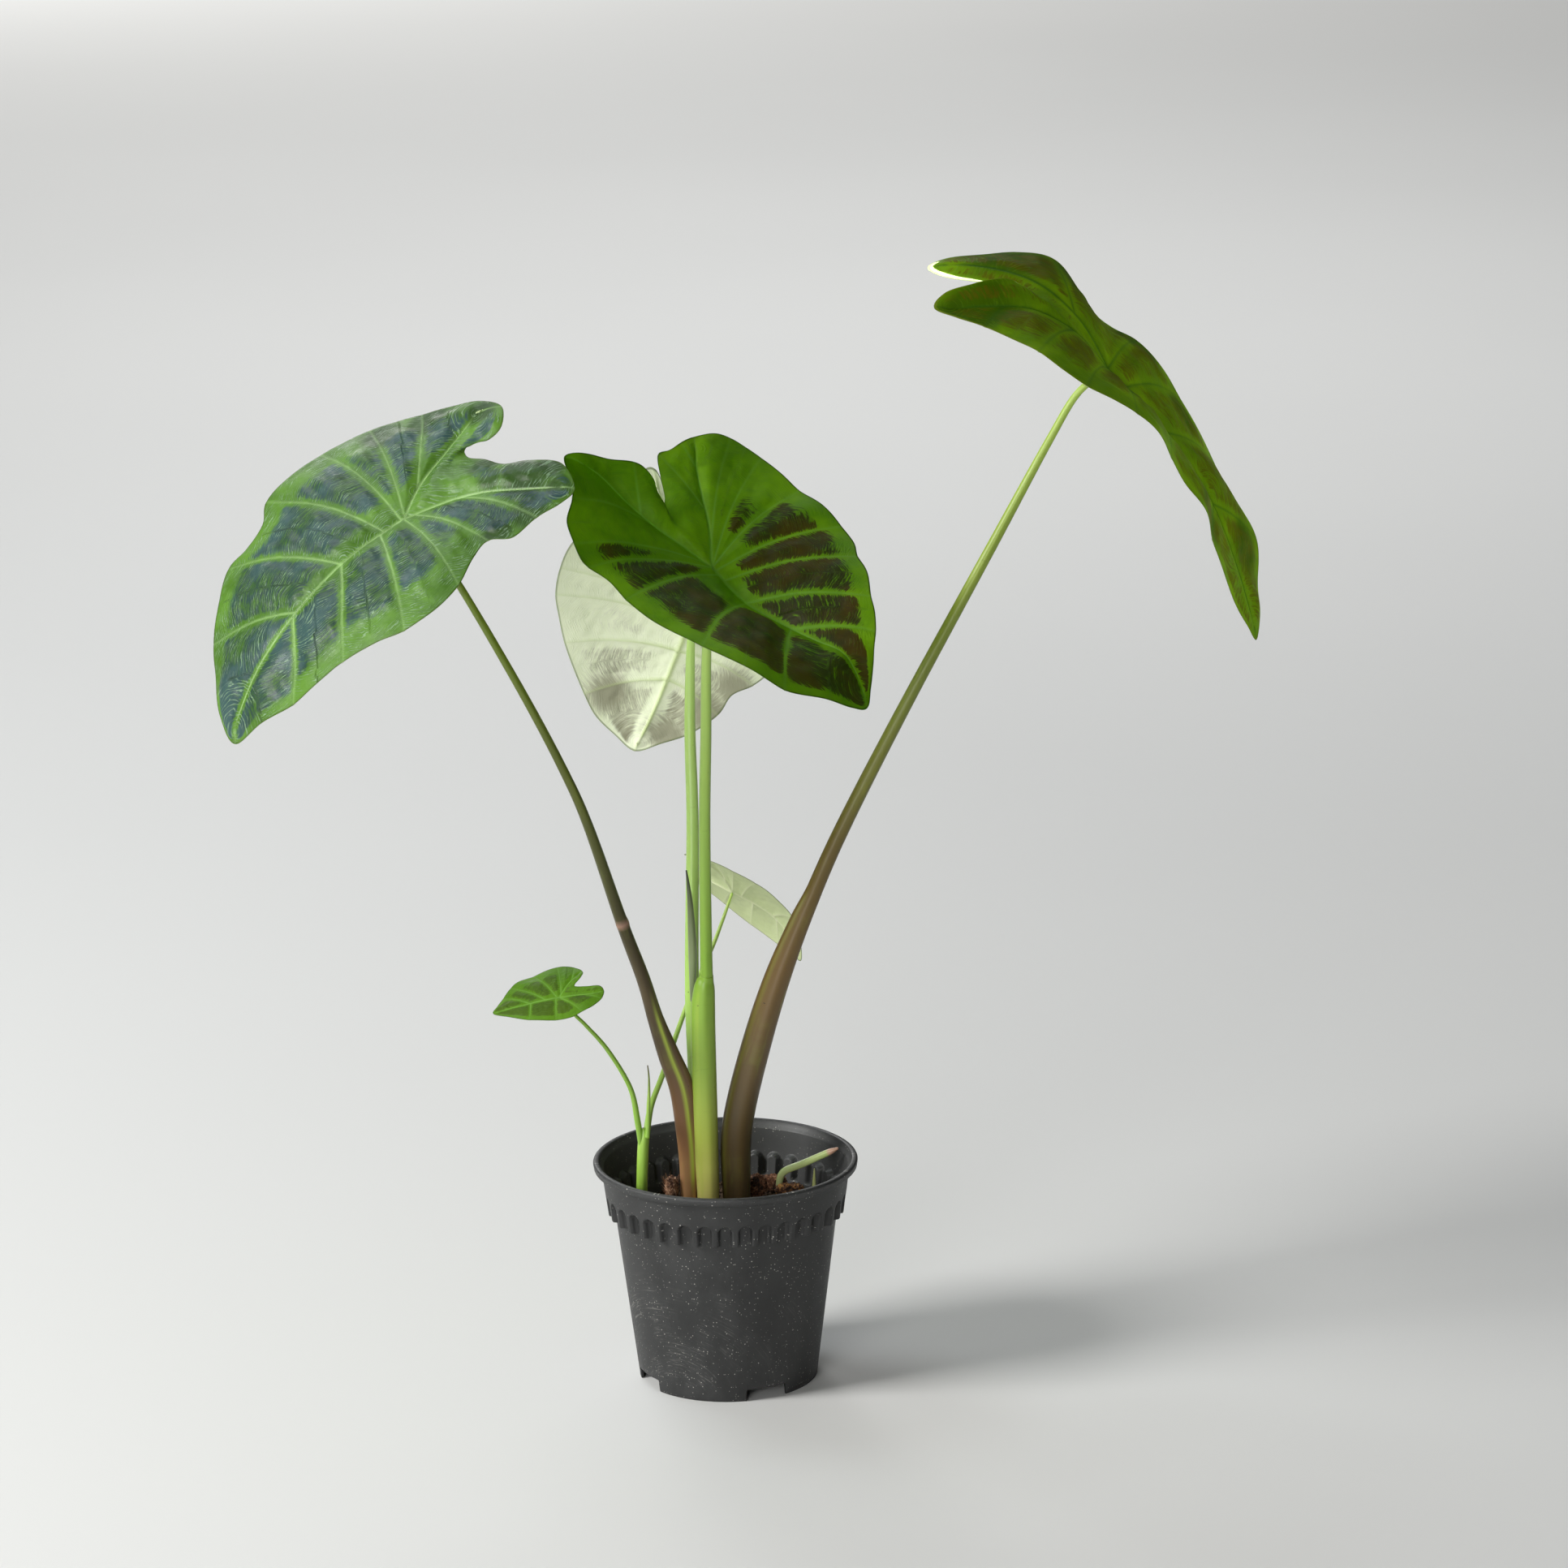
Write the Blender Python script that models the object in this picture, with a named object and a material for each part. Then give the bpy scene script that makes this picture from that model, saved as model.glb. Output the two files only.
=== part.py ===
"""A potted elephant ear: four large and two small leaves on their stalks, in a fluted nursery pot.

Lengths are in millimetres in this file and become metres when a mesh is made. The numbers are given
from the pot's own axis, with z = 0 on the floor. At the end every piece is moved by one and the same
step, so that the origin lies on the floor under the middle of the whole plant.
"""
import math

import bpy
from mathutils import Vector

MM = 0.001
GAP = 0.4                       # clearance kept between neighbouring pieces

# Pot
RIM_HEIGHT = 154.0
RIM_RADIUS = 90.0
WALL = 1.4
FLOOR_UNDERSIDE = 9.0
FLOOR_TOP = 10.5
BASE_RADIUS = 60.8
LOWER_WALL_SLOPE = 0.127        # radius gained for each millimetre of height
BELT_BOTTOM = 116.0
BELT_RADIUS = 80.2
UPPER_WALL_SLOPE = 0.134
BELT_STEP = 0.6                 # height of the step where the belt stands out of the lower wall
FLUTE_FOOT_PROUD = 0.05         # how far a flute's foot stands out of the lower wall's face
LIP_DEPTH = 5.7
LIP_LOWER_EDGE = (0.8, 0.3)     # the rolled lip's lower edge: how far in, and how far up
LIP_ROUNDING = (2.2, 2.4)       # its rounded shoulder: how far in, and how far down
LIP_INNER_EDGE = (2.8, 0.6)     # its inner edge: how far out from the inside of the wall, and how far down
LIP_INNER_FOOT = 0.6            # inside, the lip flares from this far above its lower edge
INNER_FLUTE_RISE = 1.0          # inside, the flutes end this much higher
INNER_BELT_FOOT = 2.0           # and the belt begins this far above its outer foot
INNER_LEDGE = (0.1, 0.4)        # the ledge below it: how far in, and how far up
FLUTE_COUNT = 37
FLUTE_HALF_ANGLE = math.radians(3.2)
FLUTE_EDGE_ANGLE = math.radians(0.55)
FLUTE_SHOULDER = 127.5
FLUTE_TOP = 131.0
NOTCH_HEIGHT = 8.4
NOTCH_CENTRE = math.radians(26.0)
NOTCH_HALF_ANGLE = math.radians(14.0)
NOTCH_COUNT = 4

# Soil and the root crown that the stalks stand on
STALK_CENTRE = (-7.0, 1.0)
SOIL_RINGS = ((12.0, 103.5), (26.5, 104.5), (29.0, 110.0), (33.0, 117.0), (48.0, 115.5), (60.0, 113.0))
SOIL_EDGE_HEIGHT = 111.0
SOIL_SIDES = 28
SOIL_WALL_GAP = 0.8             # kept between the soil and the pot's wall
CROWN_HOLLOW_RADIUS = 33.0      # the soil's rings follow the crown inside this radius, the pot outside
CROWN_RADIUS = 24.0
CROWN_BOTTOM = 105.2
CROWN_TOP = 115.2
CROWN_SIDES = 18
CROWN_PROFILE = ((0.72, 0.0), (1.0, 0.35), (1.0, 0.7), (0.9, 1.0))    # share of the radius, of the height

# Leaves
BLADE_THICKNESS = 1.3
BLADE_ROWS = (0.0, 0.3, 0.65, 1.0)
MIDRIB_KNOTS = 9
LOBE_KNOTS = 4
CROWNING = 0.05                 # how far a half-blade bellies up, as a share of its width

# Each leaf has its navel, where the stalk joins it, the way its midrib sets off, the way its upper
# face looks, its three main veins from the navel outwards, and its margin. A vein or margin point is
# (along the midrib, across to the leaf's left, lift). The fourth number of a margin point says which
# place on the main veins it faces: 0 is the tip, 1 the navel, 2 the left lobe's end, 3 the navel
# again, 4 the right lobe's end, 5 the navel, 6 the tip.
LEAVES = {
    "left": {
        "navel": (-200, -80, 616.5), "ahead": (-0.824, -0.332, -0.459), "up": (-0.34, -0.36, 0.869),
        "midrib": ((44, 0, -2), (92, 0, -16), (129, 0, -35), (157, 0, -59), (164, 2, -67)),
        "left_vein": ((-28, 12, 1), (-50, 30, 2), (-68, 52, 2), (-88, 76, 1)),
        "right_vein": ((-23, -20, 3), (-48, -32, 5), (-66, -40, 7), (-86, -46, 11)),
        "margin": (
            (168, 4, -71, 0), (149, 25, -56, 0.2), (128, 46, -45, 0.48), (106, 59, -32, 0.6),
            (91, 65, -25, 0.73), (69, 79, -18, 0.82), (51, 90, -15, 0.9), (27, 95, -11, 0.96),
            (6, 90, -8, 1), (-13, 77, -6, 1), (-28, 71, -4, 1.05), (-41, 82, -6, 1.2),
            (-61, 81, -3, 1.32), (-78, 84, -2, 1.7), (-92, 80, 0, 2), (-97, 55, 5, 2.2),
            (-84, 32, 6, 2.45), (-71, 18, 5, 2.6), (-66, -2, 4, 2.75), (-60, -15, 4, 2.9),
            (-62, -26, 3, 3), (-68, -28, 4, 3.4), (-78, -19, 5, 3.7), (-90, -19, 8, 3.95),
            (-99, -34, 12, 4), (-92, -54, 12, 4.15), (-77, -68, 11, 4.45), (-60, -83, 10, 4.73),
            (-45, -95, 9, 4.9), (-28, -104, 10, 5), (-9, -108, 10, 5), (8, -111, 10, 5.01),
            (32, -112, 7, 5.04), (55, -108, 3, 5.08), (66, -98, -4, 5.15), (84, -93, -10, 5.2),
            (101, -94, -16, 5.27), (118, -82, -27, 5.38), (138, -65, -41, 5.5), (150, -42, -52, 5.7),
            (163, -19, -63, 5.9)),
    },
    "front": {
        "navel": (-2, -60, 577.3), "ahead": (0.679, -0.592, -0.434), "up": (0.20, -0.42, 0.885),
        "midrib": ((30, 0, -6), (58, 0, -2), (92, 0, 6), (118, 0, 14), (131, 0, 9), (144, -2, 0)),
        "left_vein": ((-25, 20, 8), (-48, 34, 12), (-70, 48, 17), (-85, 61, 20)),
        "right_vein": ((-19, -3, 2), (-42, -13, 9), (-64, -22, 19), (-82, -32, 33), (-91, -46, 44)),
        "margin": (
            (153, -5, -6, 0), (143, 5, 2, 0.03), (130, 18, 16, 0.25), (122, 26, 22, 0.5),
            (111, 35, 26, 0.62), (98, 44, 27, 0.78), (79, 60, 26, 0.85), (60, 71, 22, 0.92),
            (46, 82, 20, 0.95), (27, 90, 17, 0.98), (4, 95, 16, 1), (-18, 96, 13, 1),
            (-38, 97, 14, 1), (-56, 96, 15, 1), (-69, 93, 16, 1.05), (-79, 88, 19, 1.15),
            (-86, 79, 22, 1.6), (-90, 64, 23, 2), (-90, 52, 23, 2.2), (-90, 42, 20, 2.45),
            (-91, 32, 19, 2.55), (-74, 20, 15, 2.8), (-60, 11, 12, 2.92), (-54, 2, 11, 3),
            (-62, -3, 18, 3.15), (-63, 2, 26, 3.25), (-68, -4, 37, 3.4), (-73, -12, 43, 3.5),
            (-80, -28, 47, 3.7), (-89, -43, 51, 3.9), (-94, -57, 51, 4), (-80, -62, 43, 4.3),
            (-70, -68, 38, 4.55), (-61, -81, 30, 4.8), (-46, -87, 24, 4.95), (-34, -91, 21, 5),
            (-26, -91, 20, 5), (-9, -90, 20, 5.01), (12, -94, 20, 5.04), (33, -95, 21, 5.1),
            (54, -94, 24, 5.15), (79, -92, 29, 5.23), (110, -84, 31, 5.35), (133, -68, 22, 5.5),
            (145, -40, 11, 5.75), (152, -20, 0, 5.93)),
    },
    "back": {
        "navel": (-17, 80, 514), "ahead": (-0.30, 0.469, -0.831), "up": (0.24, 0.88, 0.41),
        "midrib": ((36, 0, -1), (63, 0, -4), (94, 1, -9), (116, 3, -14)),
        "left_vein": ((-30, 18, 0), (-63, 38, 2), (-92, 55, 3)),
        "right_vein": ((-28, -8, 1), (-63, -12, 4), (-90, -14, 8)),
        "margin": (
            (121, 3, -15, 0), (115, 20, -14, 0.2), (105, 37, -14, 0.38), (91, 50, -13, 0.5),
            (73, 63, -13, 0.6), (54, 75, -13, 0.72), (35, 84, -14, 0.82), (15, 92, -15, 0.9),
            (-8, 95, -15, 0.98), (-31, 93, -12, 1), (-58, 82, -8, 1.15), (-86, 72, -2, 1.4),
            (-100, 66, 3, 1.9), (-103, 60, 4, 2), (-95, 52, 4, 2.2), (-76, 40, 2, 2.7),
            (-58, 24, 2, 3), (-76, 14, 5, 3.4), (-95, 4, 9, 3.85), (-97, -12, 9, 4),
            (-78, -36, 3, 4.55), (-50, -52, -5, 4.95), (-24, -60, -11, 5.1), (8, -62, -14, 5.22),
            (27, -56, -13, 5.28), (45, -45, -10, 5.38), (66, -41, -11, 5.5), (92, -27, -12, 5.7),
            (108, -12, -13, 5.88)),
    },
    "right": {
        "navel": (258.3, -15, 697), "ahead": (0.784, 0.02, -0.621), "up": (0.619, -0.10, 0.779),
        "midrib": ((27, 0, -4), (59, 0, -10), (91, 0, -20), (119, 0, -33), (147, 0, -50),
                   (169, 0, -65), (190, 0, -81)),
        "left_vein": ((-16, 8, 7), (-34, 16, 12), (-61, 24, 13), (-84, 31, 6), (-107, 38, -8),
                      (-122, 43, -22)),
        "right_vein": ((-24, -10, 8), (-46, -18, 10), (-71, -28, 6), (-100, -40, -12), (-115, -45, -25)),
        "margin": (
            (194, 0, -84, 0), (187, 15, -72, 0.14), (175, 28, -61, 0.28), (159, 44, -41, 0.45),
            (137, 58, -31, 0.6), (112, 70, -22, 0.72), (88, 80, -13, 0.84), (67, 87, -5, 0.92),
            (45, 92, 3, 0.97), (21, 94, 8, 1), (2, 93, 6, 1), (-14, 90, 7, 1.05),
            (-34, 86, 13, 1.12), (-61, 78, 20, 1.3), (-84, 69, 11, 1.5), (-103, 60, -3, 1.7),
            (-121, 52, -18, 1.9), (-128, 44, -29, 2), (-116, 34, -24, 2.2), (-96, 24, -9, 2.5),
            (-80, 11, 2, 2.75), (-68, 0, 7, 3), (-80, -10, 11, 3.25), (-94, -19, 10, 3.4),
            (-109, -30, -3, 3.7), (-121, -38, -18, 3.9), (-121, -46, -28, 4), (-107, -56, -22, 4.15),
            (-91, -66, -13, 4.3), (-72, -76, -6, 4.5), (-57, -84, -1, 4.7), (-39, -90, 0, 4.9),
            (-20, -92, 2, 5), (-1, -90, 5, 5.03), (18, -85, 6, 5.08), (38, -78, 3, 5.16),
            (57, -68, -6, 5.28), (76, -60, -16, 5.36), (100, -50, -25, 5.45), (118, -42, -39, 5.55),
            (139, -31, -52, 5.7), (164, -19, -69, 5.84), (181, -9, -78, 5.92)),
    },
    "small_left": {
        "navel": (-108.6, -45, 282), "ahead": (-0.967, 0.071, -0.244), "up": (-0.249, -0.447, 0.859),
        "midrib": ((11, -1, 0), (22, -2, -1), (33, -3, -2), (44, -4, -4)),
        "left_vein": ((-9, 1, 0), (-19, 3, 0), (-28, 4, 0)),
        "right_vein": ((-5, -9, 0), (-10, -15, 0), (-14, -20, -1)),
        "margin": (
            (47, -4, -4, 0), (37, 3, -3, 0.2), (22, 12, -2, 0.55), (4, 18, -2, 0.95),
            (-8, 19, -2, 1), (-15, 17, -1, 1), (-23, 15, 0, 1.15), (-29, 10, 0, 1.6),
            (-31, 3, 0, 2), (-28, -3, 0, 2.2), (-20, -4, 1, 2.5), (-13, -6, 1, 2.9),
            (-11, -8, 1, 3), (-16, -14, 1, 3.6), (-17, -20, 0, 4), (-11, -28, -2, 4.3),
            (-5, -31, -2, 4.7), (1, -32, -2, 4.9), (9, -31, -2, 5), (18, -29, -2, 5.03),
            (28, -27, -2, 5.1), (34, -23, -3, 5.2), (40, -16, -4, 5.45), (44, -10, -4, 5.8)),
    },
    "small_back": {
        "navel": (7, 75, 320.5), "ahead": (0.725, 0.043, -0.688), "up": (0.603, 0.442, 0.664),
        "midrib": ((16, 0, 4), (33, 0, 6), (48, 0, 4), (64, 0, -3)),
        "left_vein": ((-9, 6, -1), (-17, 10, -2), (-23, 14, -4)),
        "right_vein": ((-14, -8, 2), (-28, -13, 0), (-42, -17, -5)),
        "margin": (
            (68, 0, -5, 0), (60, 8, -4, 0.2), (52, 16, -3, 0.45), (41, 21, -3, 0.6),
            (30, 25, -3, 0.75), (16, 28, -3, 0.9), (6, 28, -3, 1), (-5, 27, -4, 1.1),
            (-16, 24, -6, 1.5), (-26, 18, -8, 2), (-27, 10, -4, 2.2), (-24, 0, -2, 3),
            (-35, -9, -2, 3.8), (-47, -18, -7, 4), (-41, -25, -4, 4.4), (-31, -29, -1, 4.8),
            (-16, -31, 3, 5), (2, -30, 7, 5.1), (20, -26, 10, 5.3), (40, -19, 9, 5.5),
            (54, -10, 5, 5.8)),
    },
}

# Stalks: each point is (x, y, z, radius), with a fifth number where the stalk is flattened: its depth as
# a share of its width. The last point lies a little under the blade.
STALKS = {
    "stalk_left": ((-25, -2, 116, 5.8, 1), (-25.4, -3.5, 150, 6.4, 0.9), (-28, -6.6, 180, 7.7, 0.75),
                   (-31, -9.3, 207, 8.5, 0.66), (-37.3, -12, 231, 7.8, 0.68), (-44, -16, 257, 6.8, 0.75),
                   (-52.5, -20, 286, 4.7, 1), (-66, -27, 328, 4.2, 1), (-86.5, -40, 398, 3.4, 1),
                   (-101.9, -48, 439, 3.0, 1), (-128.2, -60, 497, 2.7, 1), (-165, -72, 569, 2.4, 1),
                   (-184, -77, 599, 2.2, 1), (-197, -79, 611, 1.2, 1)),
    "stalk_front": ((-12, -8.5, 116, 7.2), (-12, -8.5, 149, 7.4), (-13, -12, 242, 7.8),
                    (-12.3, -12.8, 276, 7.2), (-10.7, -14.2, 287, 4.8), (-10.5, -16, 300, 4.2),
                    (-10, -24, 393, 3.9), (-8, -34, 462, 3.7), (-7, -44, 508, 3.3),
                    (-5, -52, 543, 2.8), (-2.5, -58, 571, 1.2)),
    "stalk_back": ((-13, 10.5, 116, 6.0), (-18, 12, 170, 5.6), (-20, 14.5, 223, 5.2), (-21, 18, 276, 4.8),
                   (-19, 36, 377, 4.2), (-20, 52, 441, 3.8), (-19, 68, 490, 3.0), (-17.5, 76, 508, 1.2)),
    "stalk_right": ((7, 2.5, 116, 9.4), (7.6, 2.5, 145, 9.4), (9.8, 2, 180, 9.8), (21.8, 0, 230, 9.4),
                    (37.7, -2, 281, 8.1), (57.3, -4, 330, 5.9), (82.2, -6, 387, 5.1),
                    (127, -9, 476, 4.3), (183.2, -12, 581, 3.5), (219.6, -14, 649, 2.7),
                    (238.5, -15, 681, 2.4), (253.5, -15, 692, 1.2)),
    "offset_sheath": ((-57, -24, 114.8, 4.0), (-56.5, -25, 143, 3.8), (-55.5, -25, 165, 3.9),
                      (-54.5, -25.5, 182, 3.7)),
    "stalk_small_left": ((-56.3, -26.8, 183.5, 1.9), (-63, -30, 214, 1.7), (-77, -36, 242, 1.5),
                         (-91, -41, 261, 1.3), (-98, -43, 269, 1.2), (-105, -45, 276.5, 0.8)),
    "stalk_small_back": ((-51.2, -22.5, 183.5, 2.0), (-49, -12, 197, 2.0), (-42, 2, 212, 1.9),
                         (-31, 24, 238, 1.7), (-24, 36, 254, 1.6), (-16, 48, 270, 1.5),
                         (-7, 57, 287, 1.4), (0, 66, 303, 1.2), (5.5, 73, 315, 0.8)),
    "withered_leaf": ((-51.8, -29.6, 183.5, 1.3), (-50.5, -29.5, 207, 1.3), (-50, -29, 222, 1.0),
                      (-51, -28.5, 229, 0.6)),
    "furled_leaf": ((-20.5, -2.5, 271, 1.5), (-20, -3, 290, 2.6), (-20, -4, 308, 2.8),
                    (-21, -6, 337, 1.8), (-23, -8, 359, 0.5)),
    "cut_runner": ((37, 27, 116.2, 2.4), (36.5, 26, 127, 2.4), (40, 24, 135.2, 2.5), (52, 20.5, 141.5, 2.5),
                   (64, 17, 148, 2.4), (71, 15, 151.8, 2.2), (77, 13.5, 155, 0.8)),
    "young_shoot": ((60, 22, 114.2, 1.7), (60.2, 22, 126, 1.4), (60.5, 21.5, 138, 0.3)),
}
STALK_SIDES = {"stalk_front": 14, "stalk_right": 14}
DEFAULT_SIDES = 10
STATIONS_PER_SPAN = 1

# Bark pieces and the dry husk on the soil: centre and half-sizes, and a turn about the vertical
CHUNKS = {
    "bark_tall": ((21, 22, 126.4), (7.6, 6.2, 8.2), 20.0),
    "bark_rear": ((33, 39, 122.4), (9.0, 6.6, 6.0), -15.0),
    "bark_front": ((43.5, 14.5, 123.6), (10.6, 7.0, 6.6), 8.0),
    "dry_husk": ((-37, -5, 132.0), (5.0, 4.6, 11.5), 0.0),
}
CHUNK_ROUGHNESS = 0.10
CHUNK_RINGS = 6
CHUNK_SIDES = 10

COLOURS = {
    "pot": (0.028, 0.029, 0.030, 0.55, 0.0), "soil": (0.035, 0.022, 0.014, 0.95, 0.0),
    "crown": (0.16, 0.09, 0.05, 0.9, 0.0), "bark": (0.16, 0.06, 0.025, 0.9, 0.0),
    "husk": (0.24, 0.12, 0.06, 0.9, 0.0), "blade": (0.06, 0.15, 0.02, 0.45, 0.0),
    "stalk_green": (0.22, 0.38, 0.06, 0.4, 0.0), "stalk_brown": (0.13, 0.09, 0.035, 0.4, 0.0),
}


def material(name):
    """A plain material of one of the part's colours."""
    made = bpy.data.materials.get(name)
    if made is None:
        red, green, blue, roughness, metallic = COLOURS[name]
        made = bpy.data.materials.new(name)
        made.use_nodes = True
        shader = made.node_tree.nodes["Principled BSDF"]
        shader.inputs["Base Color"].default_value = (red, green, blue, 1.0)
        shader.inputs["Roughness"].default_value = roughness
        shader.inputs["Metallic"].default_value = metallic
    return made


def add_piece(name, points, faces, colour):
    """One named object from points in millimetres."""
    mesh = bpy.data.meshes.new(name)
    mesh.from_pydata([Vector(p) * MM for p in points], [], faces)
    mesh.materials.append(material(colour))
    mesh.shade_smooth()
    mesh.set_sharp_from_angle(angle=math.radians(40))
    piece = bpy.data.objects.new(name, mesh)
    bpy.context.collection.objects.link(piece)
    return piece


def smooth_path(points, per_span):
    """Points on a smooth curve through the given ones; further numbers of a point are blended too."""
    last = len(points) - 1
    path = []
    for i in range(last):
        before, here, there, after = (points[max(i - 1, 0)], points[i], points[i + 1],
                                      points[min(i + 2, last)])
        for step in range(per_span):
            t = step / per_span
            path.append(tuple(
                0.5 * (2 * b + (c - a) * t + (2 * a - 5 * b + 4 * c - d) * t ** 2
                       + (3 * b - a - 3 * c + d) * t ** 3)
                for a, b, c, d in zip(before, here, there, after)))
    path.append(tuple(points[last]))
    return path


def point_at(path, share):
    """The point at a share of a path's length."""
    lengths = [(Vector(b) - Vector(a)).length for a, b in zip(path, path[1:])]
    wanted = share * sum(lengths)
    for start, end, length in zip(path, path[1:], lengths):
        if wanted <= length or (start, end) == (path[-2], path[-1]):
            return Vector(start).lerp(Vector(end), min(wanted / length, 1.0))
        wanted -= length
    return Vector(path[-1])


# ---------------------------------------------------------------- tubes

def add_tube(name, points, sides, colour):
    """A closed tube of changing radius along a smooth path, round unless its points flatten it."""
    path = smooth_path(points, STATIONS_PER_SPAN)
    centres = [Vector(p[:3]) for p in path]
    verts = []
    side = Vector((1, 0, 0))
    for i, centre in enumerate(centres):
        ahead = (centres[min(i + 1, len(centres) - 1)] - centres[max(i - 1, 0)]).normalized()
        if i == 0:
            ahead = Vector((0, 0, 1))
        side = (side - ahead * side.dot(ahead)).normalized()
        other = ahead.cross(side)
        if len(path[i]) > 4:
            other = other * path[i][4]
        for k in range(sides):
            turn = 2 * math.pi * k / sides
            verts.append(centre + (side * math.cos(turn) + other * math.sin(turn)) * path[i][3])
    faces = []
    for i in range(len(centres) - 1):
        for k in range(sides):
            a = i * sides + k
            b = i * sides + (k + 1) % sides
            faces.append((a, b, b + sides, a + sides))
    faces.append(tuple(reversed(range(sides))))
    faces.append(tuple(range(len(verts) - sides, len(verts))))
    return add_piece(name, verts, faces, colour)


# ---------------------------------------------------------------- blades

def leaf_space(leaf):
    """A function that takes a point of the leaf to the pot's space."""
    up = Vector(leaf["up"]).normalized()
    ahead = Vector(leaf["ahead"])
    ahead = (ahead - up * ahead.dot(up)).normalized()
    left = up.cross(ahead)
    navel = Vector(leaf["navel"])
    return lambda p: navel + ahead * p[0] + left * p[1] + up * p[2]


def main_vein_knots(leaf):
    """Knots on the midrib and the two lobe veins, and the round trip past them all."""
    knots = [Vector((0, 0, 0))]
    branches = []
    for vein, count in (("midrib", MIDRIB_KNOTS), ("left_vein", LOBE_KNOTS), ("right_vein", LOBE_KNOTS)):
        path = smooth_path(((0, 0, 0),) + leaf[vein], 4)
        branches.append([0] + [len(knots) + k for k in range(count)])
        knots += [point_at(path, (k + 1) / count) for k in range(count)]
    midrib, left, right = branches
    trip = midrib[::-1] + left[1:] + left[-2::-1] + right[1:] + right[-2::-1] + midrib[1:-1]
    return knots, trip


def trip_index(place):
    """Where a margin point's fourth number falls on the round trip."""
    lengths = (MIDRIB_KNOTS, LOBE_KNOTS, LOBE_KNOTS, LOBE_KNOTS, LOBE_KNOTS, MIDRIB_KNOTS)
    whole = min(int(place), 5)
    return round(sum(lengths[:whole]) + (place - whole) * lengths[whole])


def add_blade(name, leaf):
    """A thin curved blade: rows of points between the main veins and the margin, then a thickness."""
    to_space = leaf_space(leaf)
    knots, trip = main_vein_knots(leaf)
    middle = [to_space(k) for k in knots]
    columns = []
    for along, across, lift, place in leaf["margin"]:
        index = trip_index(place)
        root = knots[trip[index % len(trip)]]
        edge = Vector((along, across, lift))
        width = (edge - root).length
        column = []
        for row in BLADE_ROWS[1:]:
            crown = CROWNING * width * math.sin(math.pi * row)
            column.append(len(middle))
            middle.append(to_space(root.lerp(edge, row) + Vector((0, 0, crown))))
        columns.append((index, column))
    faces = []
    for (index, column), (next_index, next_column) in zip(columns, columns[1:] + columns[:1]):
        if next_index < index:
            next_index += len(trip)
        roots = [trip[i % len(trip)] for i in range(index, next_index + 1)]
        fan = roots + [next_column[0], column[0]]
        faces += [(fan[-1], fan[i], fan[i + 1]) for i in range(len(fan) - 2)]
        for low, high, next_low, next_high in zip(column, column[1:], next_column, next_column[1:]):
            faces.append((low, next_low, next_high, high))
    return thicken(name, middle, faces, [column[-1] for _, column in columns])


def thicken(name, middle, faces, rim):
    """A closed shell on both sides of an open sheet whose edge is the rim."""
    normals = [Vector((0, 0, 0)) for _ in middle]
    for face in faces:
        corner = [middle[i] for i in face]
        normal = (corner[2] - corner[0]).cross(corner[-1] - corner[1])
        if len(face) == 3:
            normal = (corner[1] - corner[0]).cross(corner[2] - corner[0])
        for i in face:
            normals[i] += normal
    half = BLADE_THICKNESS / 2
    upper = [p + n.normalized() * half for p, n in zip(middle, normals)]
    lower = [p - n.normalized() * half for p, n in zip(middle, normals)]
    count = len(middle)
    shell = [tuple(face) for face in faces]
    shell += [tuple(i + count for i in reversed(face)) for face in faces]
    for a, b in zip(rim, rim[1:] + rim[:1]):
        shell.append((a, b, b + count, a + count))
    return add_piece(name, upper + lower, shell, "blade")


# ---------------------------------------------------------------- pot, soil, loose pieces

def lower_radius(height):
    return BASE_RADIUS + LOWER_WALL_SLOPE * height


def upper_radius(height):
    return BELT_RADIUS + UPPER_WALL_SLOPE * (height - BELT_BOTTOM)


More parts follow.
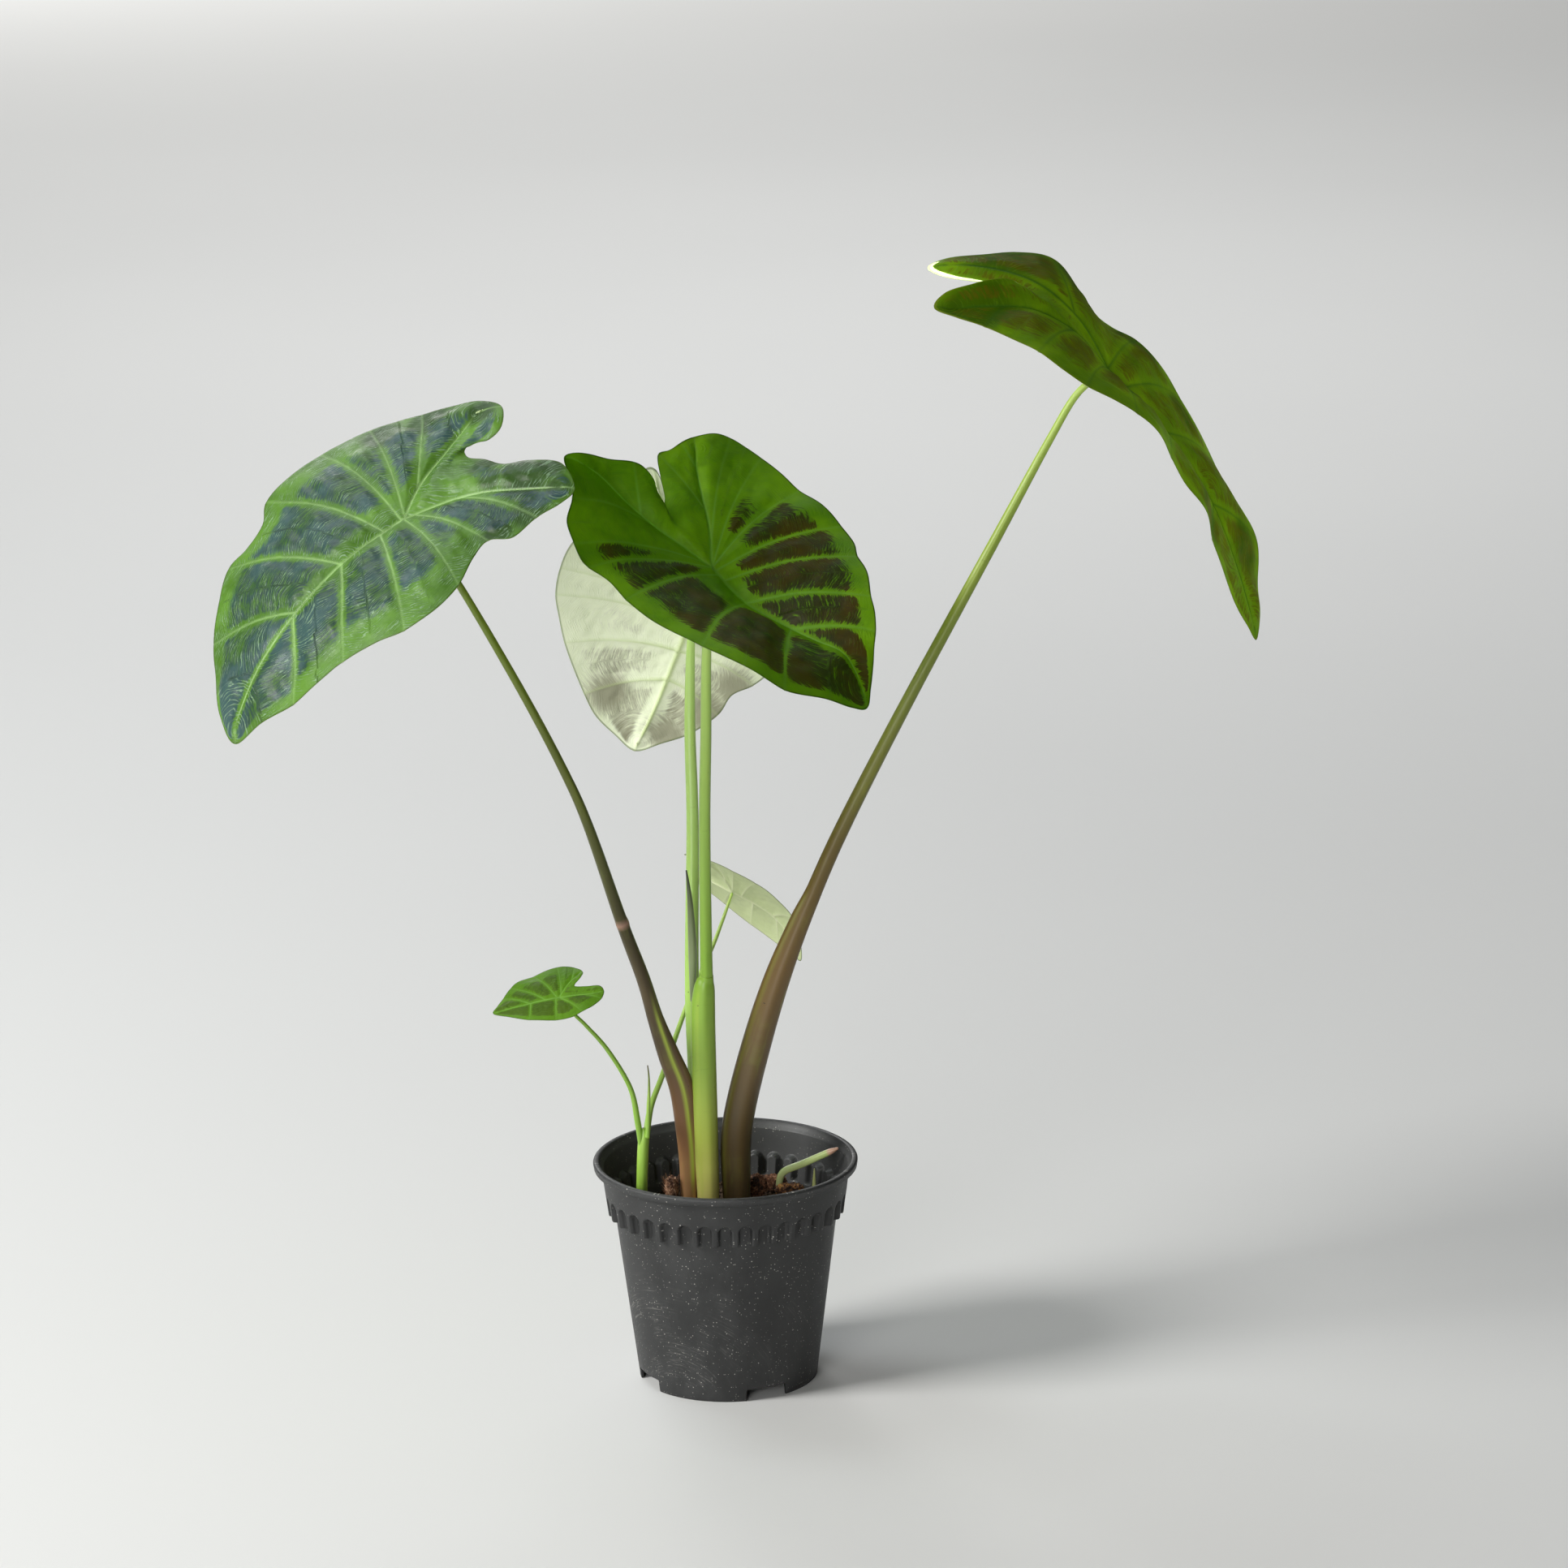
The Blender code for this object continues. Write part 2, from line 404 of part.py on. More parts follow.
def pot_rings():
    """Rings of the pot from under its floor, over the rim and down inside: (radius of the ribs,
    radius in the flutes, height, whether a notch lifts the ring)."""
    lip_low = RIM_HEIGHT - LIP_DEPTH
    under_lip = upper_radius(lip_low)
    inside = under_lip - WALL
    inner_base = lower_radius(0) - WALL
    inner_floor = lower_radius(FLOOR_UNDERSIDE) - WALL
    belt_foot = lower_radius(BELT_BOTTOM)
    flute_foot = belt_foot + FLUTE_FOOT_PROUD
    edge_in, edge_up = LIP_LOWER_EDGE
    round_in, round_down = LIP_ROUNDING
    inner_in, inner_down = LIP_INNER_EDGE
    ledge_in, ledge_up = INNER_LEDGE
    top, shoulder = FLUTE_TOP + INNER_FLUTE_RISE, FLUTE_SHOULDER + INNER_FLUTE_RISE
    floor_edge = lower_radius(FLOOR_TOP) - WALL

    def plain(radius, height, liftable=False):
        return radius, radius, height, liftable

    return [
        plain(inner_floor, FLOOR_UNDERSIDE),
        plain(inner_base, 0.0, True),
        plain(BASE_RADIUS, 0.0, True),
        plain(lower_radius(FLOOR_UNDERSIDE), FLOOR_UNDERSIDE),
        plain(belt_foot, BELT_BOTTOM),
        (BELT_RADIUS, flute_foot, BELT_BOTTOM + BELT_STEP, False),
        (upper_radius(FLUTE_SHOULDER), lower_radius(FLUTE_SHOULDER), FLUTE_SHOULDER, False),
        plain(upper_radius(FLUTE_TOP), FLUTE_TOP),
        plain(under_lip, lip_low),
        plain(RIM_RADIUS - edge_in, lip_low + edge_up),
        plain(RIM_RADIUS, RIM_HEIGHT - round_down),
        plain(RIM_RADIUS - round_in, RIM_HEIGHT),
        plain(inside + inner_in, RIM_HEIGHT - inner_down),
        plain(inside, lip_low + LIP_INNER_FOOT),
        plain(upper_radius(top) - WALL, top),
        (upper_radius(shoulder) - WALL, lower_radius(shoulder) - WALL, shoulder, False),
        (BELT_RADIUS - WALL, belt_foot - WALL, BELT_BOTTOM + INNER_BELT_FOOT, False),
        plain(belt_foot - WALL - ledge_in, BELT_BOTTOM + ledge_up),
        plain(floor_edge, FLOOR_TOP),
    ]


def pot_columns():
    """Angles of the pot's columns, from the front towards +X, and whether each lies in a flute."""
    columns = []
    for k in range(FLUTE_COUNT):
        centre = 2 * math.pi * k / FLUTE_COUNT
        edge = FLUTE_HALF_ANGLE - FLUTE_EDGE_ANGLE
        columns += [(centre - FLUTE_HALF_ANGLE, False), (centre - edge, True),
                    (centre + edge, True), (centre + FLUTE_HALF_ANGLE, False)]
    return columns


def in_notch(angle):
    """Whether an angle falls in one of the drain notches of the foot."""
    pitch = 2 * math.pi / NOTCH_COUNT
    away = (angle - NOTCH_CENTRE + pitch / 2) % pitch - pitch / 2
    return abs(away) <= NOTCH_HALF_ANGLE


def add_pot():
    """The fluted nursery pot with its rolled rim, raised floor and notched foot."""
    columns = pot_columns()
    rings = pot_rings()
    verts = []
    for rib_radius, flute_radius, height, liftable in rings:
        for angle, fluted in columns:
            radius = flute_radius if fluted else rib_radius
            z = NOTCH_HEIGHT if liftable and in_notch(angle) else height
            verts.append((radius * math.sin(angle), -radius * math.cos(angle), z))
    around = len(columns)
    faces = []
    for i in range(len(rings) - 1):
        for k in range(around):
            a = i * around + k
            b = i * around + (k + 1) % around
            faces.append((a, b, b + around, a + around))
    under, top = len(verts), len(verts) + 1
    verts += [(0, 0, FLOOR_UNDERSIDE), (0, 0, FLOOR_TOP)]
    last = (len(rings) - 1) * around
    for k in range(around):
        faces.append((under, (k + 1) % around, k))
        faces.append((top, last + k, last + (k + 1) % around))
    return add_piece("nursery_pot", verts, faces, "pot")


def add_soil():
    """The soil: a plug that fills the pot to below the belt, with a hollow for the crown."""
    around = SOIL_SIDES
    bottom = FLOOR_TOP + GAP
    edge = lower_radius(SOIL_EDGE_HEIGHT) - WALL - SOIL_WALL_GAP
    foot = lower_radius(bottom) - WALL - SOIL_WALL_GAP
    rings = list(SOIL_RINGS) + [(edge, SOIL_EDGE_HEIGHT), (foot, bottom)]
    verts = []
    for radius, height in rings:
        outward = (radius - CROWN_HOLLOW_RADIUS) / (edge - CROWN_HOLLOW_RADIUS)
        share = min(max(outward, 0.0), 1.0)
        centre = [c * (1 - share) for c in STALK_CENTRE] if height > bottom else (0.0, 0.0)
        for k in range(around):
            turn = 2 * math.pi * k / around
            verts.append((centre[0] + radius * math.cos(turn), centre[1] + radius * math.sin(turn), height))
    faces = [tuple(range(around))]
    for i in range(len(rings) - 1):
        for k in range(around):
            a = i * around + k
            b = i * around + (k + 1) % around
            faces.append((b, a, a + around, b + around))
    last = (len(rings) - 1) * around
    faces.append(tuple(last + k for k in reversed(range(around))))
    return add_piece("potting_soil", verts, faces, "soil")


def add_crown():
    """The root crown under the stalks: a squat round block with a flat top."""
    sides = CROWN_SIDES
    height = CROWN_TOP - CROWN_BOTTOM
    verts = []
    for share, level in CROWN_PROFILE:
        for k in range(sides):
            turn = 2 * math.pi * k / sides
            verts.append((STALK_CENTRE[0] + CROWN_RADIUS * share * math.cos(turn),
                          STALK_CENTRE[1] + CROWN_RADIUS * share * math.sin(turn),
                          CROWN_BOTTOM + height * level))
    faces = [tuple(reversed(range(sides)))]
    for i in range(len(CROWN_PROFILE) - 1):
        for k in range(sides):
            a = i * sides + k
            b = i * sides + (k + 1) % sides
            faces.append((a, b, b + sides, a + sides))
    faces.append(tuple(range(len(verts) - sides, len(verts))))
    return add_piece("root_crown", verts, faces, "crown")


def add_chunk(name, centre, half_sizes, turn_degrees, colour):
    """A rough lump of bark or husk."""
    rings, sides = CHUNK_RINGS, CHUNK_SIDES
    turn_by = math.radians(turn_degrees)
    verts = []
    for i in range(1, rings):
        level = math.pi * i / rings
        for k in range(sides):
            turn = 2 * math.pi * k / sides
            rough = 1 - CHUNK_ROUGHNESS * (0.5 + 0.5 * math.sin(3 * turn + 2.3 * i + centre[0]))
            x = half_sizes[0] * math.sin(level) * math.cos(turn) * rough
            y = half_sizes[1] * math.sin(level) * math.sin(turn) * rough
            verts.append((centre[0] + x * math.cos(turn_by) - y * math.sin(turn_by),
                          centre[1] + x * math.sin(turn_by) + y * math.cos(turn_by),
                          centre[2] - half_sizes[2] * math.cos(level)))
    faces = [tuple(reversed(range(sides)))]
    for i in range(rings - 2):
        for k in range(sides):
            a = i * sides + k
            b = i * sides + (k + 1) % sides
            faces.append((a, b, b + sides, a + sides))
    faces.append(tuple(range(len(verts) - sides, len(verts))))
    return add_piece(name, verts, faces, colour)


def move_origin_under_middle(pieces):
    """Stand the whole plant over the origin, its box centred in x and y."""
    low = [min(v.co[axis] for p in pieces for v in p.data.vertices) for axis in range(3)]
    high = [max(v.co[axis] for p in pieces for v in p.data.vertices) for axis in range(3)]
    step = Vector((-(low[0] + high[0]) / 2, -(low[1] + high[1]) / 2, -low[2]))
    for piece in pieces:
        piece.location = step


def main():
    """Clear the scene and build every piece."""
    for old in list(bpy.data.objects):
        bpy.data.objects.remove(old, do_unlink=True)
    pieces = [add_pot(), add_soil(), add_crown()]
    for name, points in STALKS.items():
        colour = "stalk_brown" if name in ("stalk_left", "stalk_right") else "stalk_green"
        pieces.append(add_tube(name, points, STALK_SIDES.get(name, DEFAULT_SIDES), colour))
    for name, leaf in LEAVES.items():
        pieces.append(add_blade("blade_" + name, leaf))
    for name, (centre, half_sizes, turn) in CHUNKS.items():
        pieces.append(add_chunk(name, centre, half_sizes, turn, "husk" if "husk" in name else "bark"))
    move_origin_under_middle(pieces)


main()
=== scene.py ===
"""Potted elephant ear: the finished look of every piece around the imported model.

Tables of places are in millimetres from the pot's own axis, with z = 0 on the floor. make_piece turns
them into metres in the model's frame, where the pot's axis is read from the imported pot. Leaves are given
in their own space: along the midrib, across to the leaf's left, and lift above the blade's plane.
"""

import math

import bpy
import numpy as np
from mathutils import Euler, Matrix, Vector


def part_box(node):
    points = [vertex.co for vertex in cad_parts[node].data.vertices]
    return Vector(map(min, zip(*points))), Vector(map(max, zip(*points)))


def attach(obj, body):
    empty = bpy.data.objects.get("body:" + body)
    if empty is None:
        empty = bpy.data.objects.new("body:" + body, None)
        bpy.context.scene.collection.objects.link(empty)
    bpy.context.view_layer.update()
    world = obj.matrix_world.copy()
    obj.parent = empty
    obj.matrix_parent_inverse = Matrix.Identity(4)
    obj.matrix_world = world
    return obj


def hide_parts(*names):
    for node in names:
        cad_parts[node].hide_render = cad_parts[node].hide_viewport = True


bl_info = {
    "name": "Potted Elephant Ear",
    "version": (1, 0, 0),
    "blender": (4, 5, 0),
    "location": "3D View > Sidebar > Plant",
    "description": "Builds a potted elephant ear around its packed model",
    "category": "Object",
}

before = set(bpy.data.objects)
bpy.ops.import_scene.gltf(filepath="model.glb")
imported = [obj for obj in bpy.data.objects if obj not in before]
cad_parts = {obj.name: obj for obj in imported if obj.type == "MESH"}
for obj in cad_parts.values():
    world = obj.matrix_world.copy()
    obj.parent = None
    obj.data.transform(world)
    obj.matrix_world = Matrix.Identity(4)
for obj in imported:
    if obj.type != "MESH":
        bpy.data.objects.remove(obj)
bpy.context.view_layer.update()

MM = 0.001
POT_LOW, POT_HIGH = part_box("nursery_pot")
POT_AXIS = np.array([(POT_LOW.x + POT_HIGH.x) / 2, (POT_LOW.y + POT_HIGH.y) / 2, 0.0])

# ---------------------------------------------------------------- the pot's shape

RIM_HEIGHT = POT_HIGH.z / MM
RIM_RADIUS = (POT_HIGH.x - POT_LOW.x) / 2 / MM
WALL = 1.4
FLOOR_UNDERSIDE = 9.0
FLOOR_TOP = 10.5
BASE_RADIUS = 60.8
LOWER_SLOPE = 0.127
BELT_BOTTOM = 116.0
BELT_RADIUS = 80.2
UPPER_SLOPE = 0.134
LIP_DEPTH = 5.7
LIP_ROUND = 1.7
LIP_FLARE = ((4.1, 0.0), (3.3, 0.2), (2.8, 0.7), (1.7, 2.7), (0.7, 4.5), (0.0, 5.2))
FLUTE_HALF_WIDTH = 4.4
FLUTE_SHOULDER = 127.5
FLUTE_ARCH = 4.0
NOTCH_HEIGHT = 8.4
NOTCH_CENTRE = math.radians(26.0)
NOTCH_HALF_ANGLE = math.radians(14.0)
NOTCH_COUNT = 4
FOOT_ROUND = 0.25
BELT_STEP = 0.9
FLUTE_EDGE = (-0.25, 0.55)
# Heights between which the rings lie close enough for the flutes, and the last plain ones beside them
FLUTE_ROWS = (114.0, 133.4)
PLAIN_BELOW = 112.0
PLAIN_ABOVE = 135.0
INSIDE_FLUTE_DROP = 0.8
INSIDE_HEIGHTS = (110, 90, 60, 30, FLOOR_TOP)
COLUMNS_PER_FLUTE = 16
# The radius at which the wall is unrolled for its marks, and how far below the rim the lip's wear starts
# and is full
UNROLL_RADIUS = 75.0
LIP_MARK = (6.5, 3.0)

# ---------------------------------------------------------------- soil, crown and loose pieces

STALK_CENTRE = np.array([-7.0, 1.0])
SOIL_PROFILE = ((0, 113.5), (24, 114.0), (33, 116.0), (48, 115.0), (60, 112.8), (73, 111.0))
CROWN_RADIUS = 24.0
CROWN_TOP = 115.2
CROWN_DROP = 9.0
CROWN_SQUEEZE = 0.96
CROWN_RINGS = 20
CROWN_SIDES = 72
SOIL_RINGS = 34
SOIL_SIDES = 120
# The soil's unevenness as (height, seed, wavelength), its gaps to the pot, and where its rings centre
SOIL_SWELLS = ((0.9, 5, 16.0), (0.4, 6, 5.0))
SOIL_GAP_BELOW = 0.4
SOIL_GAP_BESIDE = 0.8
CENTRED_WITHIN = 30.0
CRUMB_SIZES = (0.0006, 0.0019)
CRUMB_SEED = 7
CRUMB_GAP = 0.3
# Bark and husk pieces: centre, half sizes and turn in degrees
CHUNKS = {
    "bark_tall": ((21, 22, 126.4), (7.6, 6.2, 8.2), 20.0),
    "bark_rear": ((33, 39, 122.4), (9.0, 6.6, 6.0), -15.0),
    "bark_front": ((43.5, 14.5, 123.6), (10.6, 7.0, 6.6), 8.0),
    "dry_husk": ((-37, -5, 132.0), (5.0, 4.6, 11.5), 0.0),
}
# How square a lump is, and the stretch, length and depth of its grain and of its broad hollows
SQUARENESS = 0.72
GRAIN_STRETCH = (0.35, 1.6)
GRAIN_LENGTH = 0.32
GRAIN_DEPTH = 0.13
GRAIN_SHARPNESS = 0.7
HOLLOW_LENGTH = 1.1
HOLLOW_DEPTH = 0.12
BARK_RINGS = 60
BARK_SIDES = 90
BARK_SEED = 20
HUSK_RINGS = 40
HUSK_SIDES = 60
HUSK_SEED = 31
FIBRE_COUNT = 150
FIBRE_SEED = 32
FIBRE_RADIUS = 0.28
FIBRE_LENGTHS = (3, 7)
FIBRE_HEIGHTS = (-7, 9)
FIBRE_BEND = 1.5
FIBRE_RINGS = 6
FIBRE_SIDES = 3

# ---------------------------------------------------------------- leaves

# Each leaf: its navel, where the midrib sets off, the way its upper face looks, its main veins from the
# navel outwards, and its margin as (along, across, lift, place). Place says which spot on the main veins
# a margin point faces: 0 is the tip, 1 the navel, 2 the left lobe's end, 3 the navel, 4 the right lobe's
# end, 5 the navel, 6 the tip. ribs are the margin points that a side rib runs to. blotches has one
# (strength, start, end) for each field between two ribs, in the margin's order. The dark spots and the
# pale spots are round spots (along, across, radius). The dark ones are painted shade: the blade is
# darkened there where it turns away from the light. The pale ones are a painted lit fold: a nearly white
# strip in the underside's light colour along a fold of the margin, standing in for the fold and the light
# it catches.
LEAVES = {
    "left": {
        "navel": (-200, -80, 616.5), "ahead": (-0.824, -0.332, -0.459), "up": (-0.34, -0.36, 0.869),
        "midrib": ((44, 0, -2), (92, 0, -16), (129, 0, -35), (157, 0, -59), (164, 2, -67)),
        "left_vein": ((-28, 12, 1), (-50, 30, 2), (-68, 52, 2), (-88, 76, 1)),
        "right_vein": ((-23, -20, 3), (-48, -32, 5), (-66, -40, 7), (-86, -46, 11)),
        "margin": (
            (168, 4, -71, 0), (149, 25, -56, 0.2), (128, 46, -45, 0.48), (106, 59, -32, 0.6),
            (91, 65, -25, 0.73), (69, 79, -18, 0.82), (51, 90, -15, 0.9), (27, 95, -11, 0.96),
            (6, 90, -8, 1), (-13, 77, -6, 1), (-28, 71, -4, 1.05), (-41, 82, -6, 1.2),
            (-61, 81, -3, 1.32), (-78, 84, -2, 1.7), (-92, 80, 0, 2), (-97, 55, 5, 2.2),
            (-84, 32, 6, 2.45), (-71, 18, 5, 2.6), (-66, -2, 4, 2.75), (-60, -15, 4, 2.9),
            (-62, -26, 3, 3), (-68, -28, 4, 3.4), (-78, -19, 5, 3.7), (-90, -19, 8, 3.95),
            (-99, -34, 12, 4), (-92, -54, 12, 4.15), (-77, -68, 11, 4.45), (-60, -83, 10, 4.73),
            (-45, -95, 9, 4.9), (-28, -104, 10, 5), (-9, -108, 10, 5), (8, -111, 10, 5.01),
            (32, -112, 7, 5.04), (55, -108, 3, 5.08), (66, -98, -4, 5.15), (84, -93, -10, 5.2),
            (101, -94, -16, 5.27), (118, -82, -27, 5.38), (138, -65, -41, 5.5), (150, -42, -52, 5.7),
            (163, -19, -63, 5.9)),
        "ribs": (2, 4, 6, 8, 10, 12, 27, 29, 31, 33, 36, 38),
        "blotches": ((1, 0.02, 0.86), (1, 0.05, 0.78), (1, 0.08, 0.76), (0.95, 0.10, 0.70),
                     (0.8, 0.2, 0.7), (1, 0.12, 0.86), (0.9, 0.2, 0.9), (0.5, 0.45, 0.8),
                     (0.8, 0.2, 0.8), (0.85, 0.22, 0.78), (0.85, 0.25, 0.74), (1, 0.2, 0.8),
                     (1, 0.1, 0.84), (1, 0.06, 0.86), (1, 0.03, 0.88)),
        # Painted shade: the blade is darkened in these spots, on lobes turned away from the light.
        "shade_spots": ((-74, 34, 14), (-90, 52, 14), (-58, 24, 10), (-60, 74, 16), (-84, 72, 12), (-36, 70, 12),
                 (-58, -72, 18), (-30, -86, 18), (-86, -42, 12),
                 (-72, 48, 20), (-62, 8, 12)),
    },
    "front": {
        "navel": (-2, -60, 577.3), "ahead": (0.679, -0.592, -0.434), "up": (0.20, -0.42, 0.885),
        "midrib": ((30, 0, -6), (58, 0, -2), (92, 0, 6), (118, 0, 14), (131, 0, 9), (144, -2, 0)),
        "left_vein": ((-25, 20, 8), (-48, 34, 12), (-70, 48, 17), (-85, 61, 20)),
        "right_vein": ((-19, -3, 2), (-42, -13, 9), (-64, -22, 19), (-82, -32, 33), (-91, -46, 44)),
        "margin": (
            (153, -5, -6, 0), (143, 5, 2, 0.03), (130, 18, 16, 0.25), (122, 26, 22, 0.5),
            (111, 35, 26, 0.62), (98, 44, 27, 0.78), (79, 60, 26, 0.85), (60, 71, 22, 0.92),
            (46, 82, 20, 0.95), (27, 90, 17, 0.98), (4, 95, 16, 1), (-18, 96, 13, 1),
            (-38, 97, 14, 1), (-56, 96, 15, 1), (-69, 93, 16, 1.05), (-79, 88, 19, 1.15),
            (-86, 79, 22, 1.6), (-90, 64, 23, 2), (-90, 52, 23, 2.2), (-90, 42, 20, 2.45),
            (-91, 32, 19, 2.55), (-74, 20, 15, 2.8), (-60, 11, 12, 2.92), (-54, 2, 11, 3),
            (-62, -3, 18, 3.15), (-63, 2, 26, 3.25), (-68, -4, 37, 3.4), (-73, -12, 43, 3.5),
            (-80, -28, 47, 3.7), (-89, -43, 51, 3.9), (-94, -57, 51, 4), (-80, -62, 43, 4.3),
            (-70, -68, 38, 4.55), (-61, -81, 30, 4.8), (-46, -87, 24, 4.95), (-34, -91, 21, 5),
            (-26, -91, 20, 5), (-9, -90, 20, 5.01), (12, -94, 20, 5.04), (33, -95, 21, 5.1),
            (54, -94, 24, 5.15), (79, -92, 29, 5.23), (110, -84, 31, 5.35), (133, -68, 22, 5.5),
            (145, -40, 11, 5.75), (152, -20, 0, 5.93)),
        "ribs": (3, 5, 7, 9, 11, 13, 15, 18, 20, 27, 32, 34, 36, 38, 41, 43),
        "blotches": ((1, 0.04, 0.72), (1, 0.05, 0.84), (1, 0.12, 0.86), (1, 0.16, 0.86),
                     (1, 0.3, 0.82), (0.85, 0.3, 0.62), (0.3, 0.3, 0.5), (0, 0, 1), (0, 0, 1),
                     (0, 0, 1), (0, 0, 1), (0, 0, 1), (0, 0, 1), (0.1, 0.5, 0.9), (0.95, 0.42, 0.86),
                     (1, 0.16, 0.84), (1, 0.24, 0.82), (1, 0.12, 0.84), (1, 0.12, 0.86)),
    },
    "back": {
        "navel": (-17, 80, 514), "ahead": (-0.30, 0.469, -0.831), "up": (0.24, 0.88, 0.41),
        "midrib": ((36, 0, -1), (63, 0, -4), (94, 1, -9), (116, 3, -14)),
        "left_vein": ((-30, 18, 0), (-63, 38, 2), (-92, 55, 3)),
        "right_vein": ((-28, -8, 1), (-63, -12, 4), (-90, -14, 8)),
        "margin": (
            (121, 3, -15, 0), (115, 20, -14, 0.2), (105, 37, -14, 0.38), (91, 50, -13, 0.5),
            (73, 63, -13, 0.6), (54, 75, -13, 0.72), (35, 84, -14, 0.82), (15, 92, -15, 0.9),
            (-8, 95, -15, 0.98), (-31, 93, -12, 1), (-58, 82, -8, 1.15), (-86, 72, -2, 1.4),
            (-100, 66, 3, 1.9), (-103, 60, 4, 2), (-95, 52, 4, 2.2), (-76, 40, 2, 2.7),
            (-58, 24, 2, 3), (-76, 14, 5, 3.4), (-95, 4, 9, 3.85), (-97, -12, 9, 4),
            (-78, -36, 3, 4.55), (-50, -52, -5, 4.95), (-24, -60, -11, 5.1), (8, -62, -14, 5.22),
            (27, -56, -13, 5.28), (45, -45, -10, 5.38), (66, -41, -11, 5.5), (92, -27, -12, 5.7),
            (108, -12, -13, 5.88)),
        "ribs": (3, 5, 7, 8, 10, 20, 22, 24, 26),
        "blotches": ((1, 0.1, 0.9), (0.75, 0.2, 0.9), (0.6, 0.3, 0.8), (0.4, 0.3, 0.8),
                     (0.4, 0.3, 0.8), (0.4, 0.3, 0.8), (0.4, 0.3, 0.8), (0.5, 0.3, 0.8),
                     (0.6, 0.2, 0.8), (0.85, 0.1, 0.9), (1, 0.05, 0.9), (1, 0.05, 0.9)),
        # Painted shade: these spots darken the blade and tint its underside.
        "shade_spots": ((70, -34, 26), (40, -46, 22), (100, -14, 20), (86, 34, 20)),
    },
    "right": {
        "navel": (258.3, -15, 697), "ahead": (0.784, 0.02, -0.621), "up": (0.619, -0.10, 0.779),
        "midrib": ((27, 0, -4), (59, 0, -10), (91, 0, -20), (119, 0, -33), (147, 0, -50),
                   (169, 0, -65), (190, 0, -81)),
        "left_vein": ((-16, 8, 7), (-34, 16, 12), (-61, 24, 13), (-84, 31, 6), (-107, 38, -8),
                      (-122, 43, -22)),
        "right_vein": ((-24, -10, 8), (-46, -18, 10), (-71, -28, 6), (-100, -40, -12), (-115, -45, -25)),
        "margin": (
            (194, 0, -84, 0), (187, 15, -72, 0.14), (175, 28, -61, 0.28), (159, 44, -41, 0.45),
            (137, 58, -31, 0.6), (112, 70, -22, 0.72), (88, 80, -13, 0.84), (67, 87, -5, 0.92),
            (45, 92, 3, 0.97), (21, 94, 8, 1), (2, 93, 6, 1), (-14, 90, 7, 1.05),
            (-34, 86, 13, 1.12), (-61, 78, 20, 1.3), (-84, 69, 11, 1.5), (-103, 60, -3, 1.7),
            (-121, 52, -18, 1.9), (-128, 44, -29, 2), (-116, 34, -24, 2.2), (-96, 24, -9, 2.5),
            (-80, 11, 2, 2.75), (-68, 0, 7, 3), (-80, -10, 11, 3.25), (-94, -19, 10, 3.4),
            (-109, -30, -3, 3.7), (-121, -38, -18, 3.9), (-121, -46, -28, 4), (-107, -56, -22, 4.15),
            (-91, -66, -13, 4.3), (-72, -76, -6, 4.5), (-57, -84, -1, 4.7), (-39, -90, 0, 4.9),
            (-20, -92, 2, 5), (-1, -90, 5, 5.03), (18, -85, 6, 5.08), (38, -78, 3, 5.16),
            (57, -68, -6, 5.28), (76, -60, -16, 5.36), (100, -50, -25, 5.45), (118, -42, -39, 5.55),
            (139, -31, -52, 5.7), (164, -19, -69, 5.84), (181, -9, -78, 5.92)),
        "ribs": (3, 5, 7, 9, 13, 28, 30, 32, 34, 36, 39),
        "blotches": ((0.9, 0.1, 0.9), (0.9, 0.1, 0.85), (0.85, 0.15, 0.85), (0.9, 0.1, 0.9),
                     (0.8, 0.15, 0.9), (0.85, 0.15, 0.9), (0.5, 0.3, 0.8), (0.7, 0.2, 0.9),
                     (0.8, 0.2, 0.85), (0.85, 0.15, 0.8), (0.9, 0.1, 0.7), (0.9, 0.1, 0.8),
                     (0.85, 0.1, 0.85), (0.9, 0.1, 0.85)),
        # Painted shade on the lobes and in bands across the blade.
        "shade_spots": ((-86, 56, 34), (-96, -44, 28), (-40, 78, 24), (20, 84, 22), (8, -30, 16), (70, 62, 18),
                 (108, -30, 18), (150, 20, 16)),
        # Painted light: a nearly white strip along the folded margin, the underside's light colour standing
        # in for the fold and the light it catches.
        "pale": ((-127, 44, 6), (-122, 39, 5), (-117, 35, 5), (-112, 32, 5), (-107, 29.5, 5), (-102, 27, 5),
                 (-97, 24.5, 4), (-84, -12, 4.5), (-79, -8, 4.5)),
    },
    "small_left": {
        "navel": (-108.6, -45, 282), "ahead": (-0.967, 0.071, -0.244), "up": (-0.249, -0.447, 0.859),
        "midrib": ((11, -1, 0), (22, -2, -1), (33, -3, -2), (44, -4, -4)),
        "left_vein": ((-9, 1, 0), (-19, 3, 0), (-28, 4, 0)),
        "right_vein": ((-5, -9, 0), (-10, -15, 0), (-14, -20, -1)),
        "margin": (
            (47, -4, -4, 0), (37, 3, -3, 0.2), (22, 12, -2, 0.55), (4, 18, -2, 0.95),
            (-8, 19, -2, 1), (-15, 17, -1, 1), (-23, 15, 0, 1.15), (-29, 10, 0, 1.6),
            (-31, 3, 0, 2), (-28, -3, 0, 2.2), (-20, -4, 1, 2.5), (-13, -6, 1, 2.9),
            (-11, -8, 1, 3), (-16, -14, 1, 3.6), (-17, -20, 0, 4), (-11, -28, -2, 4.3),
            (-5, -31, -2, 4.7), (1, -32, -2, 4.9), (9, -31, -2, 5), (18, -29, -2, 5.03),
            (28, -27, -2, 5.1), (34, -23, -3, 5.2), (40, -16, -4, 5.45), (44, -10, -4, 5.8)),
